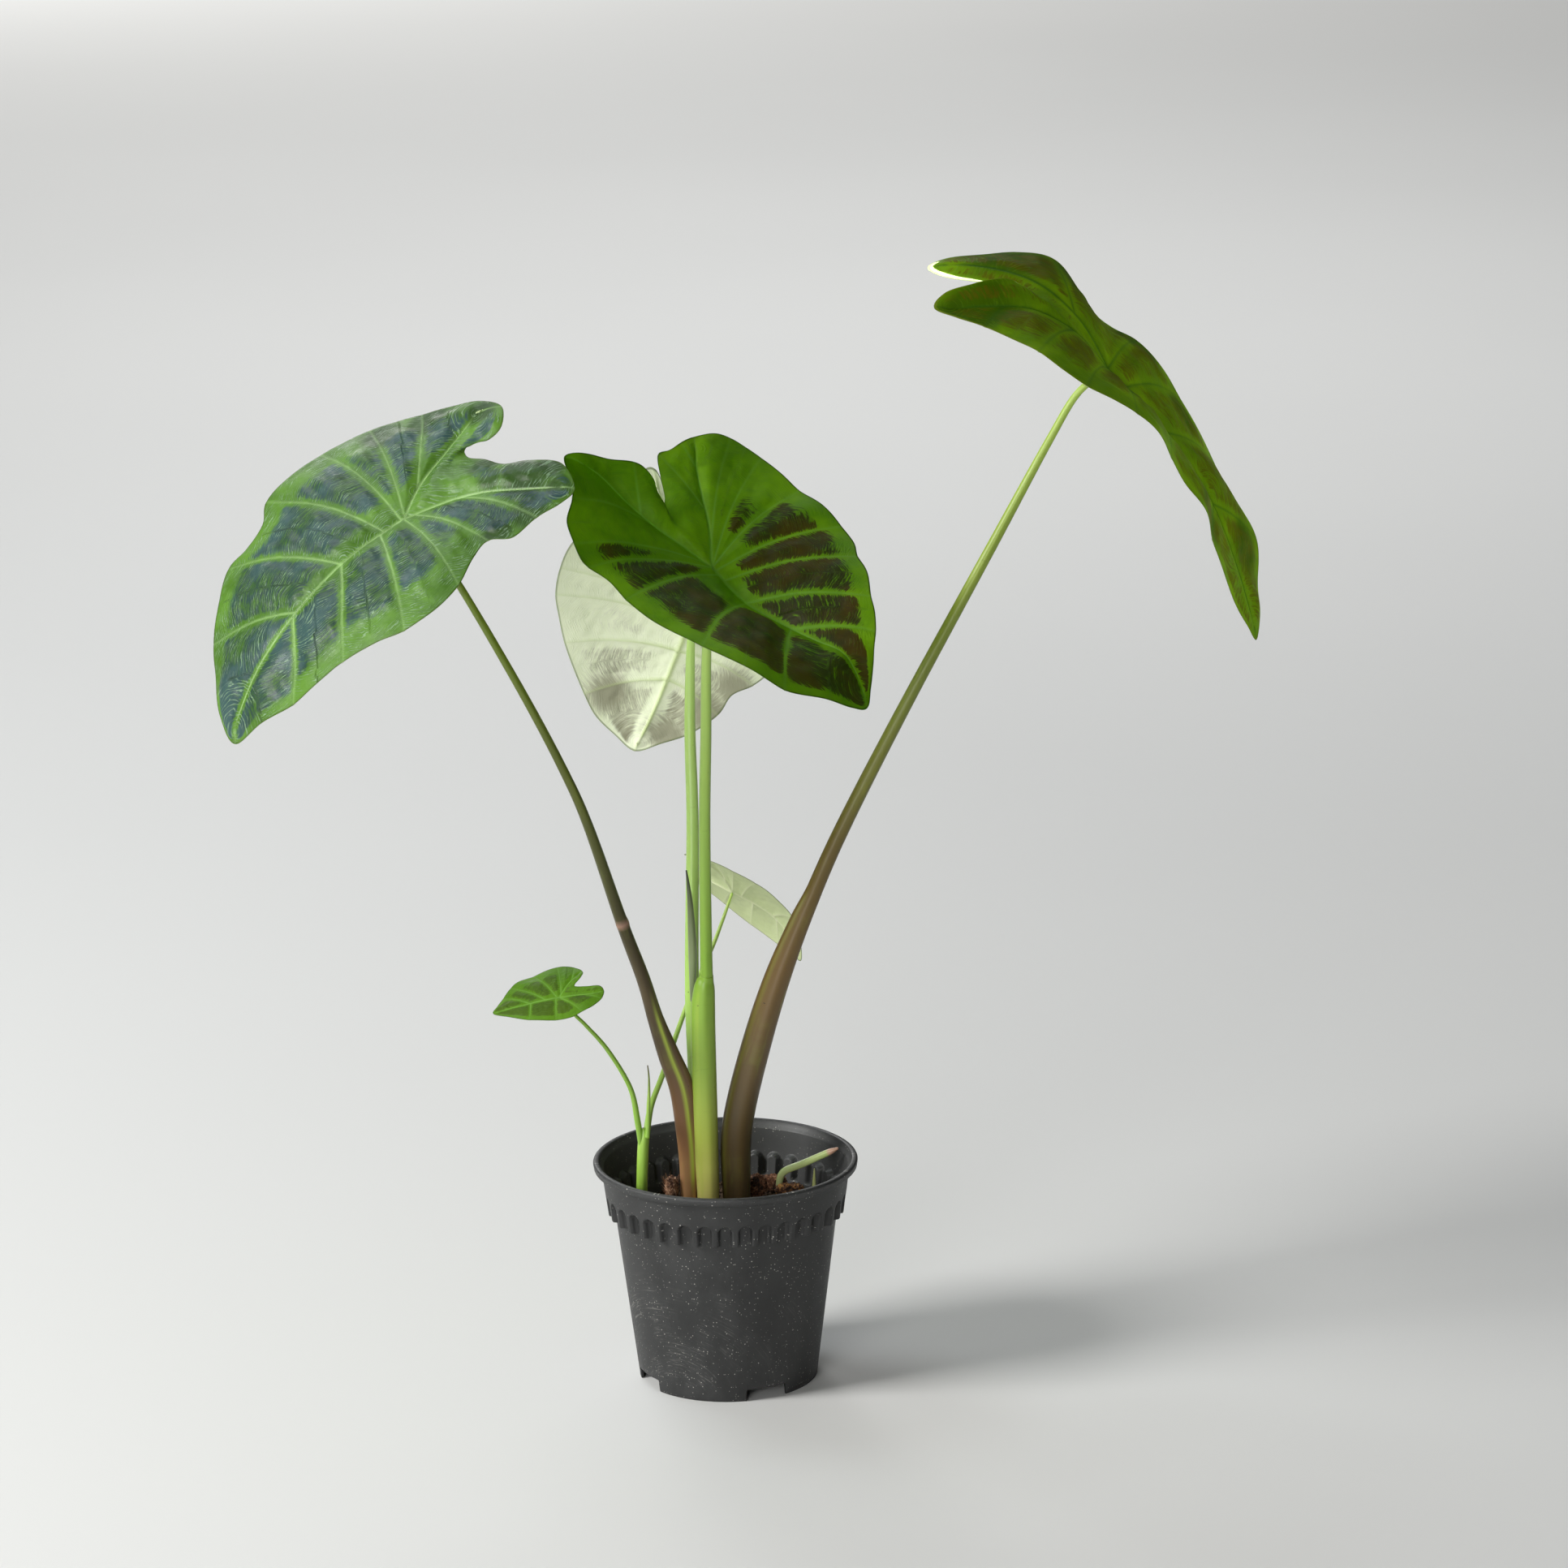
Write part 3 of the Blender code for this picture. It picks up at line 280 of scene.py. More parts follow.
        "ribs": (2, 3, 5, 7, 15, 17, 19, 21, 22),
        "blotches": ((1, 0.1, 0.8), (1, 0.1, 0.8), (1, 0.15, 0.75), (0.9, 0.2, 0.7), (0.6, 0.2, 0.7),
                     (0.4, 0.3, 0.7), (0.5, 0.3, 0.7), (0.6, 0.3, 0.7), (0.9, 0.2, 0.75),
                     (1, 0.15, 0.75), (1, 0.1, 0.8), (1, 0.1, 0.8)),
    },
    "small_back": {
        "navel": (7, 75, 320.5), "ahead": (0.725, 0.043, -0.688), "up": (0.603, 0.442, 0.664),
        "midrib": ((16, 0, 4), (33, 0, 6), (48, 0, 4), (64, 0, -3)),
        "left_vein": ((-9, 6, -1), (-17, 10, -2), (-23, 14, -4)),
        "right_vein": ((-14, -8, 2), (-28, -13, 0), (-42, -17, -5)),
        "margin": (
            (68, 0, -5, 0), (60, 8, -4, 0.2), (52, 16, -3, 0.45), (41, 21, -3, 0.6),
            (30, 25, -3, 0.75), (16, 28, -3, 0.9), (6, 28, -3, 1), (-5, 27, -4, 1.1),
            (-16, 24, -6, 1.5), (-26, 18, -8, 2), (-27, 10, -4, 2.2), (-24, 0, -2, 3),
            (-35, -9, -2, 3.8), (-47, -18, -7, 4), (-41, -25, -4, 4.4), (-31, -29, -1, 4.8),
            (-16, -31, 3, 5), (2, -30, 7, 5.1), (20, -26, 10, 5.3), (40, -19, 9, 5.5),
            (54, -10, 5, 5.8)),
        "ribs": (2, 4, 6, 15, 16, 17, 19),
        "blotches": ((0.7, 0.1, 0.8), (0.7, 0.1, 0.8), (0.6, 0.2, 0.8), (0.5, 0.2, 0.8),
                     (0.5, 0.3, 0.8), (0.5, 0.3, 0.8), (0.6, 0.2, 0.8), (0.6, 0.2, 0.8),
                     (0.7, 0.1, 0.8), (0.7, 0.1, 0.8)),
    },
}

# How finely and how strongly each leaf is worked: column spacing and row count, the puffing between its
# ribs, the height and half-width of its side ribs and of its main veins, its slow waves, how far the green
# beside a rib reaches, the seed of its unevenness and the height of its small lumps.
LEAF_BUILD = {
    "left": {"spacing": 1.9, "rows": 84, "puff": 2.4, "rib": (0.8, 0.75), "main": (1.9, 1.2),
             "wave": 0.9, "halo": 5.0, "seed": 11, "lumps": 0.50},
    "front": {"spacing": 1.9, "rows": 84, "puff": 1.5, "rib": (0.8, 0.8), "main": (1.9, 1.3),
              "wave": 0.8, "halo": 5.0, "seed": 12, "lumps": 0.30},
    "back": {"spacing": 1.9, "rows": 76, "puff": 1.2, "rib": (1.0, 1.3), "main": (2.2, 2.1),
             "wave": 0.7, "halo": 9.0, "seed": 13, "lumps": 0.30},
    "right": {"spacing": 2.0, "rows": 76, "puff": 1.5, "rib": (0.8, 1.2), "main": (1.9, 1.8),
              "wave": 0.9, "halo": 7.0, "seed": 14, "lumps": 0.34},
    "small_left": {"spacing": 0.9, "rows": 40, "puff": 0.5, "rib": (0.3, 0.5), "main": (0.7, 0.7),
                   "wave": 0.25, "halo": 2.4, "seed": 15, "lumps": 0.08},
    "small_back": {"spacing": 1.0, "rows": 44, "puff": 0.6, "rib": (0.35, 0.6), "main": (0.9, 0.9),
                   "wave": 0.3, "halo": 3.0, "seed": 16, "lumps": 0.10},
}
BLADE_THICKNESS = 0.5
EDGE_THINNING = 0.45
# Light through a blade: how much brighter than its upper face, and the share of the palette's own glow
LIT_GAIN = 5.0
LIT_GLOW = 0.28
# The green in a painted shade spot, as a share of the green around it
SHADE_SPOT_GREEN = (0.26, 0.33, 0.12)
# How far a blade lifts between its veins and margin, and how far its ribs bow back, by their length
CROWNING = 0.05
RIB_BOW = 0.035
# How many points lie along the midrib and along each lobe's vein, and the spans of their smooth curves
MIDRIB_KNOTS = 96
LOBE_KNOTS = 56
VEIN_SPAN = 12
SMOOTHING_PASSES = 10
SMOOTHING_PULL = 0.5
FAR_AWAY = 99.0
# The slant of the feathering beside a rib, and how softly a blotch starts and ends along its field
FEATHER_SLANT = 0.45
BLOTCH_START = 0.07
BLOTCH_END = 0.08
# Ribs: how much lower they get towards the margin, the least share of their width, and how clearly they
# show beside the main veins, which taper less and fade over a share of the midrib's length
RIB_TAPER = 0.72
RIB_TIP_WIDTH = 0.45
RIB_CLARITY = 0.9
MIDRIB_TAPER = 0.6
VEIN_FADE = 0.09
RIB_SINK = 0.30
# Unevenness, by the leaf's size: the puffing's start beside a rib, and the lengths of waves and creases
PUFF_START = 0.055
PUFF_EDGE_LOSS = 0.75
WAVE_LENGTH = 0.42
CREASE_LENGTH = 0.085
CREASE_COUNT = 9
LUMP_LENGTH = 0.19
SMALL_LEAF_SCALE = 0.4

# ---------------------------------------------------------------- stalks

# Each stalk is a list of (x, y, z, radius), with its depth as a share of its width where it is flattened.
# Its foot stands in the crown or the soil, and a leaf stalk's last point lies just inside its blade.
STALKS = {
    "stalk_left": (
        (-25, -2, 112, 5.8, 1), (-25.4, -3.5, 150, 6, 0.95), (-27.5, -6.6, 180, 6.4, 0.9),
        (-31, -9.3, 207, 6.4, 0.85), (-38.5, -12, 231, 5.8, 0.9), (-45.6, -16, 257, 5, 0.95),
        (-52.5, -20, 286, 4.7, 1), (-66, -27, 328, 4.2, 1), (-86.5, -40, 398, 3.4, 1),
        (-101.9, -48, 439, 3, 1), (-128.2, -60, 497, 2.7, 1), (-165, -72, 569, 2.4, 1),
        (-184, -77, 599, 2.2, 1), (-199.5, -79.8, 615.3, 2, 1)),
    "stalk_front": (
        (-12, -8.5, 112, 7.2), (-12, -8.5, 149, 7.4), (-13, -12, 242, 7.8), (-12.3, -12.8, 276, 7.2),
        (-10.7, -14.2, 287, 4.8), (-10.5, -16, 300, 4.2), (-10, -24, 393, 3.9), (-8, -34, 462, 3.7),
        (-7, -44, 508, 3.3), (-5, -52, 543, 2.8), (-2, -59.6, 576, 2.2)),
    "stalk_back": (
        (-13, 10.5, 112, 6), (-18, 12, 170, 5.6), (-20, 14.5, 223, 5.2), (-21, 18, 276, 4.8),
        (-19, 36, 377, 4.2), (-20, 52, 441, 3.8), (-19, 68, 490, 3), (-17.2, 78.8, 513, 2.2)),
    "stalk_right": (
        (7, 2.5, 112, 9.4), (7.6, 2.5, 145, 9.4), (9.8, 2, 180, 9.6), (21.8, 0, 230, 9.2),
        (37.7, -2, 281, 8), (57.3, -4, 330, 5.9), (82.2, -6, 387, 5.1), (127, -9, 476, 4.3),
        (183.2, -12, 581, 3.5), (219.6, -14, 649, 2.7), (238.5, -15, 681, 2.4), (257.6, -15, 696, 2.1)),
    "offset_sheath": (
        (-57, -24, 112, 4), (-56.5, -25, 143, 3.8), (-55.5, -25, 165, 3.9), (-54.8, -25.3, 176, 3.5),
        (-54.4, -25.5, 182, 1.9), (-54.3, -25.5, 184, 0.6)),
    "stalk_small_left": (
        (-55.9, -26, 168, 2), (-58.6, -27.6, 190, 2.1), (-63, -30, 214, 1.7), (-77, -36, 242, 1.5),
        (-91, -41, 261, 1.3), (-98, -43, 269, 1.2), (-108.3, -44.7, 281.4, 0.9)),
    "stalk_small_back": (
        (-53.6, -25, 168, 2.1), (-52, -21, 184, 2.3), (-49, -12, 197, 2), (-42, 2, 212, 1.9),
        (-31, 24, 238, 1.7), (-24, 36, 254, 1.6), (-16, 48, 270, 1.5), (-7, 57, 287, 1.4),
        (0, 66, 303, 1.2), (6.6, 74.4, 319.5, 1)),
    "withered_leaf": (
        (-52, -28.6, 178, 1.6), (-50.9, -29.3, 200, 1.3), (-50.3, -29.3, 212, 0.9),
        (-50.3, -29, 222, 0.6), (-51, -28.5, 229, 0.4)),
    "furled_leaf": (
        (-20.5, -2.5, 266, 1.5), (-20, -3, 290, 2.6), (-20, -4, 308, 2.8), (-21, -6, 337, 1.8),
        (-23, -8, 359, 0.5)),
    "cut_runner": (
        (37, 27, 114, 2.4), (36.5, 26, 127, 2.4), (40, 24, 135.2, 2.5), (52, 20.5, 141.5, 2.5),
        (64, 17, 148, 2.4), (71, 15, 151.8, 2.2), (77, 13.5, 155, 0.8)),
    "young_shoot": (
        (60, 22, 112, 1.7), (60.2, 22, 126, 1.4), (60.5, 21.5, 138, 0.3)),
}

# A sheath is a wing on a stalk. It starts at top, stands out fully from full down, and fades at bottom.
# angle is the way it points (0 is +X, -90 is the front), reach is how far it stands out, and line and
# bright are the angle and the strength of its pale margin line.
SHEATHS = {
    "stalk_left": {"top": 284, "full": 212, "bottom": 126, "angle": -14, "reach": 4.4, "line": -62,
                   "bright": 1.0},
    "stalk_right": {"top": 346, "full": 322, "bottom": 118, "angle": 186, "reach": 1.8, "line": 214,
                    "bright": 0.2},
    "stalk_front": {"top": 283, "full": 262, "bottom": 118, "angle": 196, "reach": 1.2, "line": 236,
                    "bright": 0.35},
}
# The height over which a sheath fades, how wide it spreads round the stalk, and its margin line's shape
SHEATH_FADE = 40.0
SHEATH_SPREAD = 0.62
LINE_HALF_WIDTH = 1.05
LINE_RIDGE = 0.35
# The dry ring round the left stalk, and how far it swells and how unevenly
SCAR_HEIGHT = 329.0
SCAR_HALF_HEIGHT = 1.7
SCAR_SWELL = 0.55
SCAR_UNEVENNESS = 0.25
THINNEST_STALK = 0.15
STALK_WOBBLE = 0.018
STALK_SIDES = 36
STALK_SPAN = 14

# Colours along each stalk, from its foot to its tip: (share of its length, colour).
STALK_COLOURS = {
    "stalk_left": (
        (0, (0.52, 0.29, 0.13)), (0.05, (0.38, 0.2, 0.09)), (0.12, (0.2, 0.1, 0.045)),
        (0.24, (0.078, 0.048, 0.018)), (0.4, (0.04, 0.032, 0.006)), (0.6, (0.09, 0.105, 0.01)),
        (0.85, (0.145, 0.205, 0.012)), (1, (0.34, 0.48, 0.06))),
    "stalk_front": (
        (0, (0.66, 0.5, 0.2)), (0.05, (0.62, 0.6, 0.16)), (0.13, (0.42, 0.5, 0.08)),
        (0.24, (0.25, 0.4, 0.045)), (0.4, (0.21, 0.38, 0.032)), (1, (0.46, 0.66, 0.16))),
    "stalk_back": (
        (0, (0.3, 0.34, 0.1)), (0.3, (0.32, 0.52, 0.09)), (1, (0.55, 0.78, 0.24))),
    "stalk_right": (
        (0, (0.09, 0.06, 0.024)), (0.12, (0.11, 0.072, 0.022)), (0.28, (0.15, 0.088, 0.022)),
        (0.42, (0.125, 0.088, 0.016)), (0.58, (0.17, 0.2, 0.02)), (0.8, (0.23, 0.32, 0.032)),
        (1, (0.36, 0.5, 0.09))),
    "offset_sheath": (
        (0, (0.26, 0.46, 0.05)), (1, (0.34, 0.56, 0.08))),
    "stalk_small_left": (
        (0, (0.24, 0.44, 0.05)), (1, (0.2, 0.36, 0.04))),
    "stalk_small_back": (
        (0, (0.24, 0.42, 0.06)), (1, (0.55, 0.74, 0.2))),
    "withered_leaf": (
        (0, (0.26, 0.46, 0.06)), (0.55, (0.3, 0.46, 0.08)), (0.85, (0.16, 0.2, 0.05)),
        (1, (0.08, 0.06, 0.02))),
    "furled_leaf": (
        (0, (0.2, 0.24, 0.12)), (0.3, (0.26, 0.32, 0.16)), (0.7, (0.14, 0.17, 0.08)),
        (1, (0.03, 0.04, 0.02))),
    "cut_runner": (
        (0, (0.6, 0.68, 0.32)), (0.7, (0.6, 0.72, 0.28)), (0.86, (0.5, 0.62, 0.22)),
        (0.9, (0.62, 0.38, 0.26)), (1, (0.4, 0.22, 0.14))),
    "young_shoot": (
        (0, (0.6, 0.68, 0.24)), (1, (0.6, 0.62, 0.26))),
}

# ---------------------------------------------------------------- camera and light

CAMERA_PLACE = (43.167, -3675.615, 1373.178)
CAMERA_PITCH = 75.4
CAMERA_ROLL = -0.75
CAMERA_LENS = 130.435
CAMERA_REACH = 200.0
FLOOR_HALF = 40.0
FLOOR_DROP = 0.0002
FLOOR_CLOUDS = 0.985
# Lamps: where each stands and what it faces, in metres from the pot, its square's side and its power.
LIGHTS = {
    "key_softbox": {"place": (-3.231, -1.24, 2.3), "aim": (0, 0, 0.3), "size": 1.36, "watts": 155.0,
                    "colour": (1.0, 0.995, 0.98)},
    "fill_softbox": {"place": (-1.3, -4.2, 1.25), "aim": (0, 0, 0.4), "size": 2.0, "watts": 86.0,
                     "colour": (1.0, 1.0, 0.99)},
    "sheen_softbox": {"place": (-1.53, 1.35, 2.87), "aim": (-0.1, 0, 0.6), "size": 1.3, "watts": 24.0,
                      "colour": (0.90, 0.96, 1.0)},
    "back_softbox": {"place": (0, 4.0, 3.0), "aim": (0.5, 5.0, 0.0), "size": 3.0, "watts": 62.0,
                     "colour": (0.98, 0.99, 1.0)},
    "far_softbox": {"place": (-3.0, 11.0, 4.0), "aim": (0, 10.0, 0), "size": 4.0, "watts": 385.0,
                    "colour": (1.0, 1.0, 0.99)},
}


# ================================================================ small tools

def smooth_step(value, low, high):
    """0 below low, 1 above high and an even curve between."""
    share = np.clip((np.asarray(value, float) - low) / (high - low), 0.0, 1.0)
    return share * share * (3 - 2 * share)


def smooth_curve(points, per_span):
    """Points on a smooth open curve through the given ones, with every further number blended too."""
    points = np.asarray(points, float)
    last = len(points) - 1
    steps = (np.arange(per_span) / per_span)[:, None]
    runs = []
    for i in range(last):
        runs.append(span_points(points[max(i - 1, 0)], points[i], points[i + 1],
                                points[min(i + 2, last)], steps))
    runs.append(points[-1:])
    return np.vstack(runs)


def span_points(before, here, there, after, steps):
    """Points between here and there on the smooth curve through four points."""
    return 0.5 * (2 * here + (there - before) * steps
                  + (2 * before - 5 * here + 4 * there - after) * steps ** 2
                  + (3 * here - before - 3 * there + after) * steps ** 3)


def even_points(path, count):
    """That many points at even spacing along a path, without its first point."""
    steps = np.linalg.norm(np.diff(path, axis=0), axis=1)
    travelled = np.concatenate([[0.0], np.cumsum(steps)])
    wanted = travelled[-1] * np.arange(1, count + 1) / count
    return np.column_stack([np.interp(wanted, travelled, path[:, axis]) for axis in range(path.shape[1])])


def distance_to_line(points, line):
    """Each point's distance to a chain of straight segments."""
    starts, runs = line[:-1], np.diff(line, axis=0)
    lengths = np.maximum((runs ** 2).sum(1), 1e-9)
    nearest = np.empty(len(points))
    for low in range(0, len(points), 3000):
        offsets = points[low:low + 3000, None, :] - starts[None]
        share = np.clip((offsets * runs[None]).sum(2) / lengths[None], 0.0, 1.0)
        gaps = offsets - runs[None] * share[..., None]
        nearest[low:low + 3000] = np.sqrt((gaps ** 2).sum(2)).min(1)
    return nearest


def ripples(places, seed, wavelength, count=6):
    """A smooth, uneven field of about -1 to 1 over flat places, the same for the same seed."""
    rng = np.random.default_rng(seed)
    field = np.zeros(len(places))
    for _ in range(count):
        turn = rng.uniform(0, 2 * math.pi)
        pitch = 2 * math.pi / (wavelength * rng.uniform(0.7, 1.5))
        phase = rng.uniform(0, 2 * math.pi)
        field += np.sin((places[:, 0] * math.cos(turn) + places[:, 1] * math.sin(turn)) * pitch + phase)
    return field / math.sqrt(count)


def wall_faces(rings, sides, flip=False):
    """The four-sided faces between stacked rings."""
    faces = []
    for i in range(rings - 1):
        for k in range(sides):
            a, b = i * sides + k, i * sides + (k + 1) % sides
            if flip:
                a, b = b, a
            faces.append((a, b, b + sides, a + sides))
    return faces


def tube_faces(rings, sides):
    """Faces of stacked rings, closed by one flat face at each end."""
    ends = [tuple(reversed(range(sides))), tuple(range((rings - 1) * sides, rings * sides))]
    return wall_faces(rings, sides) + ends


def capped_faces(rings, sides, flip=False):
    """Faces of stacked rings, closed at each end by a fan to one of the two points that follow them."""
    faces = wall_faces(rings, sides, flip)
    middle, last = rings * sides, (rings - 1) * sides
    for k in range(sides):
        here, there = (k + 1) % sides, k
        if flip:
            here, there = there, here
        faces.append((middle, here, there))
        faces.append((middle + 1, last + there, last + here))
    return faces


def make_piece(name, points, faces, finishes, face_finishes=None, values=None):
    """A named, smooth mesh object from points in millimetres, with one number per point for each value."""
    mesh = bpy.data.meshes.new(name)
    mesh.from_pydata((np.asarray(points, float) * MM + POT_AXIS).tolist(), [], faces)
    for finish in finishes:
        mesh.materials.append(finish)
    if face_finishes is not None:
        mesh.polygons.foreach_set("material_index", np.asarray(face_finishes, np.int32))
    for key, numbers in (values or {}).items():
        attribute = mesh.attributes.new(key, "FLOAT", "POINT")
        attribute.data.foreach_set("value", np.asarray(numbers, np.float32))
    mesh.shade_smooth()
    mesh.update()
    piece = bpy.data.objects.new(name, mesh)
    bpy.context.scene.collection.objects.link(piece)
    return piece


def settle(piece, node):
    """The piece stands in for a CAD node, which is hidden, and rides with the root body."""
    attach(piece, "root")
    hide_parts(node)


# ================================================================ finishes

class Finish:
    """A material's node tree, with short ways to add nodes to it."""

    def __init__(self, name):
        self.material = bpy.data.materials.new(name)
        self.material.use_nodes = True
        self.tree = self.material.node_tree
        self.shader = self.tree.nodes["Principled BSDF"]
        self.output = self.tree.nodes["Material Output"]

    def node(self, kind, inputs, **settings):
        """A new node with its settings made and its inputs fed."""
        made = self.tree.nodes.new(kind)
        for key, value in settings.items():
            setattr(made, key, value)
        for key, value in inputs.items():
            self.feed(made.inputs[key], value)
        return made

    def feed(self, socket, value):
        """Link a socket, or set its number or colour."""
        if isinstance(value, bpy.types.NodeSocket):
            self.tree.links.new(value, socket)
        elif socket.type == "RGBA" and len(value) == 3:
            socket.default_value = (*value, 1.0)
        else:
            socket.default_value = value

    def value(self, key):
        """A number that the mesh carries at each of its points."""
        return self.node("ShaderNodeAttribute", {}, attribute_name=key).outputs["Fac"]

    def place(self):
        """The place on the object, in metres."""
        return self.node("ShaderNodeTexCoord", {}).outputs["Object"]

    def math(self, operation, first, second=0.0):
        """One number from two."""
        return self.node("ShaderNodeMath", {0: first, 1: second}, operation=operation).outputs[0]

    def plus(self, first, second):
        """The sum of two numbers."""
        return self.math("ADD", first, second)

    def times(self, first, second):
        """The product of two numbers."""
        return self.math("MULTIPLY", first, second)

    def swing(self, field, amount):
        """A field of 0 to 1 as a number that swings evenly about 0."""
        return self.times(self.math("SUBTRACT", field, 0.5), amount)

    def joined(self, x, y, z=0.0):
        """Three numbers as a place."""
        return self.node("ShaderNodeCombineXYZ", {"X": x, "Y": y, "Z": z}).outputs[0]

    def noise(self, vector, scale, detail=3.0, roughness=0.5, distortion=0.0):
        """A smooth uneven field of about 0 to 1."""
        return self.node("ShaderNodeTexNoise", {
            "Vector": vector, "Scale": scale, "Detail": detail, "Roughness": roughness,
            "Distortion": distortion}).outputs["Fac"]

    def spread(self, value, low, high, to_low=0.0, to_high=1.0):
        """A number brought smoothly from one range to another and kept in it."""
        return self.node("ShaderNodeMapRange", {
            "Value": value, "From Min": low, "From Max": high, "To Min": to_low, "To Max": to_high},
            interpolation_type="SMOOTHSTEP").outputs["Result"]

    def mix(self, factor, first, second, blend="MIX"):
        """A blend of two colours."""
        made = self.node("ShaderNodeMix", {0: factor, 6: first, 7: second}, data_type="RGBA",
                         blend_type=blend)
        return made.outputs[2]

    def ramp(self, factor, stops):
        """A colour that follows a number through the given stops."""
        made = self.node("ShaderNodeValToRGB", {0: factor})
        elements = made.color_ramp.elements
        while len(elements) < len(stops):
            elements.new(0.5)
        for element, (place, shade) in zip(elements, stops):
            element.position = place
            element.color = (*shade, 1.0)
        return made.outputs["Color"]

    def bump(self, height, strength, distance):
        """A bumped normal; distance in metres."""
        made = self.node("ShaderNodeBump", {"Height": height, "Strength": strength, "Distance": distance})
        return made.outputs["Normal"]

    def finish(self, colour, roughness, normal=None, specular=0.5):
        """Feed the main shader."""
        self.feed(self.shader.inputs["Base Color"], colour)
        self.feed(self.shader.inputs["Roughness"], roughness)
        self.feed(self.shader.inputs["Specular IOR Level"], specular)
        if normal is not None:
            self.feed(self.shader.inputs["Normal"], normal)
        return self.material

    def let_light_through(self, colour, share):
        """Mix in light that comes through from the far side."""
        thin = self.node("ShaderNodeBsdfTranslucent", {"Color": colour})
        both = self.node("ShaderNodeMixShader", {
            0: share, 1: self.shader.outputs["BSDF"], 2: thin.outputs["BSDF"]})
        self.tree.links.new(both.outputs[0], self.output.inputs["Surface"])


def plastic_finish(settings):
    """Charcoal moulded plastic with dust specks, pale smears, a scuffed rim and painted light on the inside
    wall.
    """
    f = Finish("charcoal_plastic")
    around, height, lip = f.value("around"), f.value("height"), f.value("lip")
    on_wall = f.joined(around, height)
    grain = f.noise(f.place(), 900.0, 2.0)
    cloud = f.noise(f.joined(around, f.times(height, 0.7)), 0.035, 4.0, 0.6)
    # Pale smears in a low band on the front-left of the wall.
    off, up = f.plus(around, 44.0), f.plus(height, 22.0)
    out = f.math("SQRT", f.plus(f.times(off, off), f.times(up, up)))
    swirl = f.joined(out, f.times(f.math("ARCTAN2", up, off), 4.0))
    streaks = f.noise(swirl, 0.9, 4.0, 0.65, 0.15)
    low_band = f.times(f.spread(height, 4.0, 22.0), f.spread(height, 92.0, 55.0))
    left_side = f.spread(around, 18.0, -14.0)
    smear_place = f.times(low_band, f.plus(f.times(left_side, 0.8), 0.2))
    smear = f.times(f.spread(streaks, 0.52, 0.74), smear_place)
    smear = f.times(smear, f.spread(cloud, 0.42, 0.62))
    specks = f.node("ShaderNodeTexVoronoi", {"Vector": on_wall, "Scale": 0.72, "Randomness": 1.0})
    sizes = f.spread(specks.outputs["Color"], 0.48, 1.0, 0.0, 0.31)
    dots = f.math("LESS_THAN", specks.outputs["Distance"], sizes)
    dots = f.times(dots, f.spread(cloud, 0.34, 0.48))
    scuffs = f.noise(f.joined(f.times(around, 0.25), f.times(height, 3.0)), 1.2, 5.0, 0.7)
    rim = f.times(lip, f.spread(scuffs, 0.40, 0.66))
    shade = f.mix(f.spread(cloud, 0.35, 0.7, 0.0, 0.35), settings.plastic, settings.worn_and_lit_plastic)
    shade = f.mix(f.times(rim, 0.8), shade, settings.worn_and_lit_plastic)
    # Painted light: the inside wall is painted in the lighter plastic, standing in for the light that
    # reaches into the pot.
    shade = f.mix(f.times(f.value("lit_inside"), 0.9), shade, settings.worn_and_lit_plastic)
    shade = f.mix(f.times(smear, 0.5), shade, settings.dust)
    shade = f.mix(dots, shade, settings.dust)
    rough = f.spread(cloud, 0.3, 0.7, 0.44, 0.60)
    normal = f.bump(f.plus(f.times(grain, 0.5), f.times(scuffs, 0.25)), 0.35, 0.00035)
    return f.finish(shade, rough, normal, 0.45)


def earth_finish(name, dark, light, scale=260.0):
    """Crumbly soil: dark, matt and uneven."""
    f = Finish(name)
    fine = f.noise(f.place(), scale, 5.0, 0.7)
    broad = f.noise(f.place(), scale * 0.16, 3.0)
    shade = f.mix(f.spread(fine, 0.35, 0.75), dark, light)
    shade = f.mix(f.spread(broad, 0.55, 0.8, 0.0, 0.5), shade, dark)
    return f.finish(shade, 0.95, f.bump(fine, 0.8, 0.0012), 0.2)


def bark_finish(name, dark, red, light, turn):
    """Fibrous bark: long streaks in three browns, with dark cracks."""
    f = Finish(name)
    turned = f.node("ShaderNodeMapping", {
        "Vector": f.place(), "Rotation": turn, "Scale": (1.0, 0.22, 1.0)}).outputs["Vector"]
    fibres = f.noise(turned, 620.0, 5.0, 0.7, 0.3)
    patches = f.noise(f.place(), 130.0, 4.0, 0.6)
    shade = f.ramp(fibres, ((0.34, dark), (0.48, red), (0.64, light)))
    shade = f.mix(f.spread(patches, 0.52, 0.38), shade, dark)
    return f.finish(shade, 0.78, f.bump(fibres, 1.0, 0.0022), 0.35)


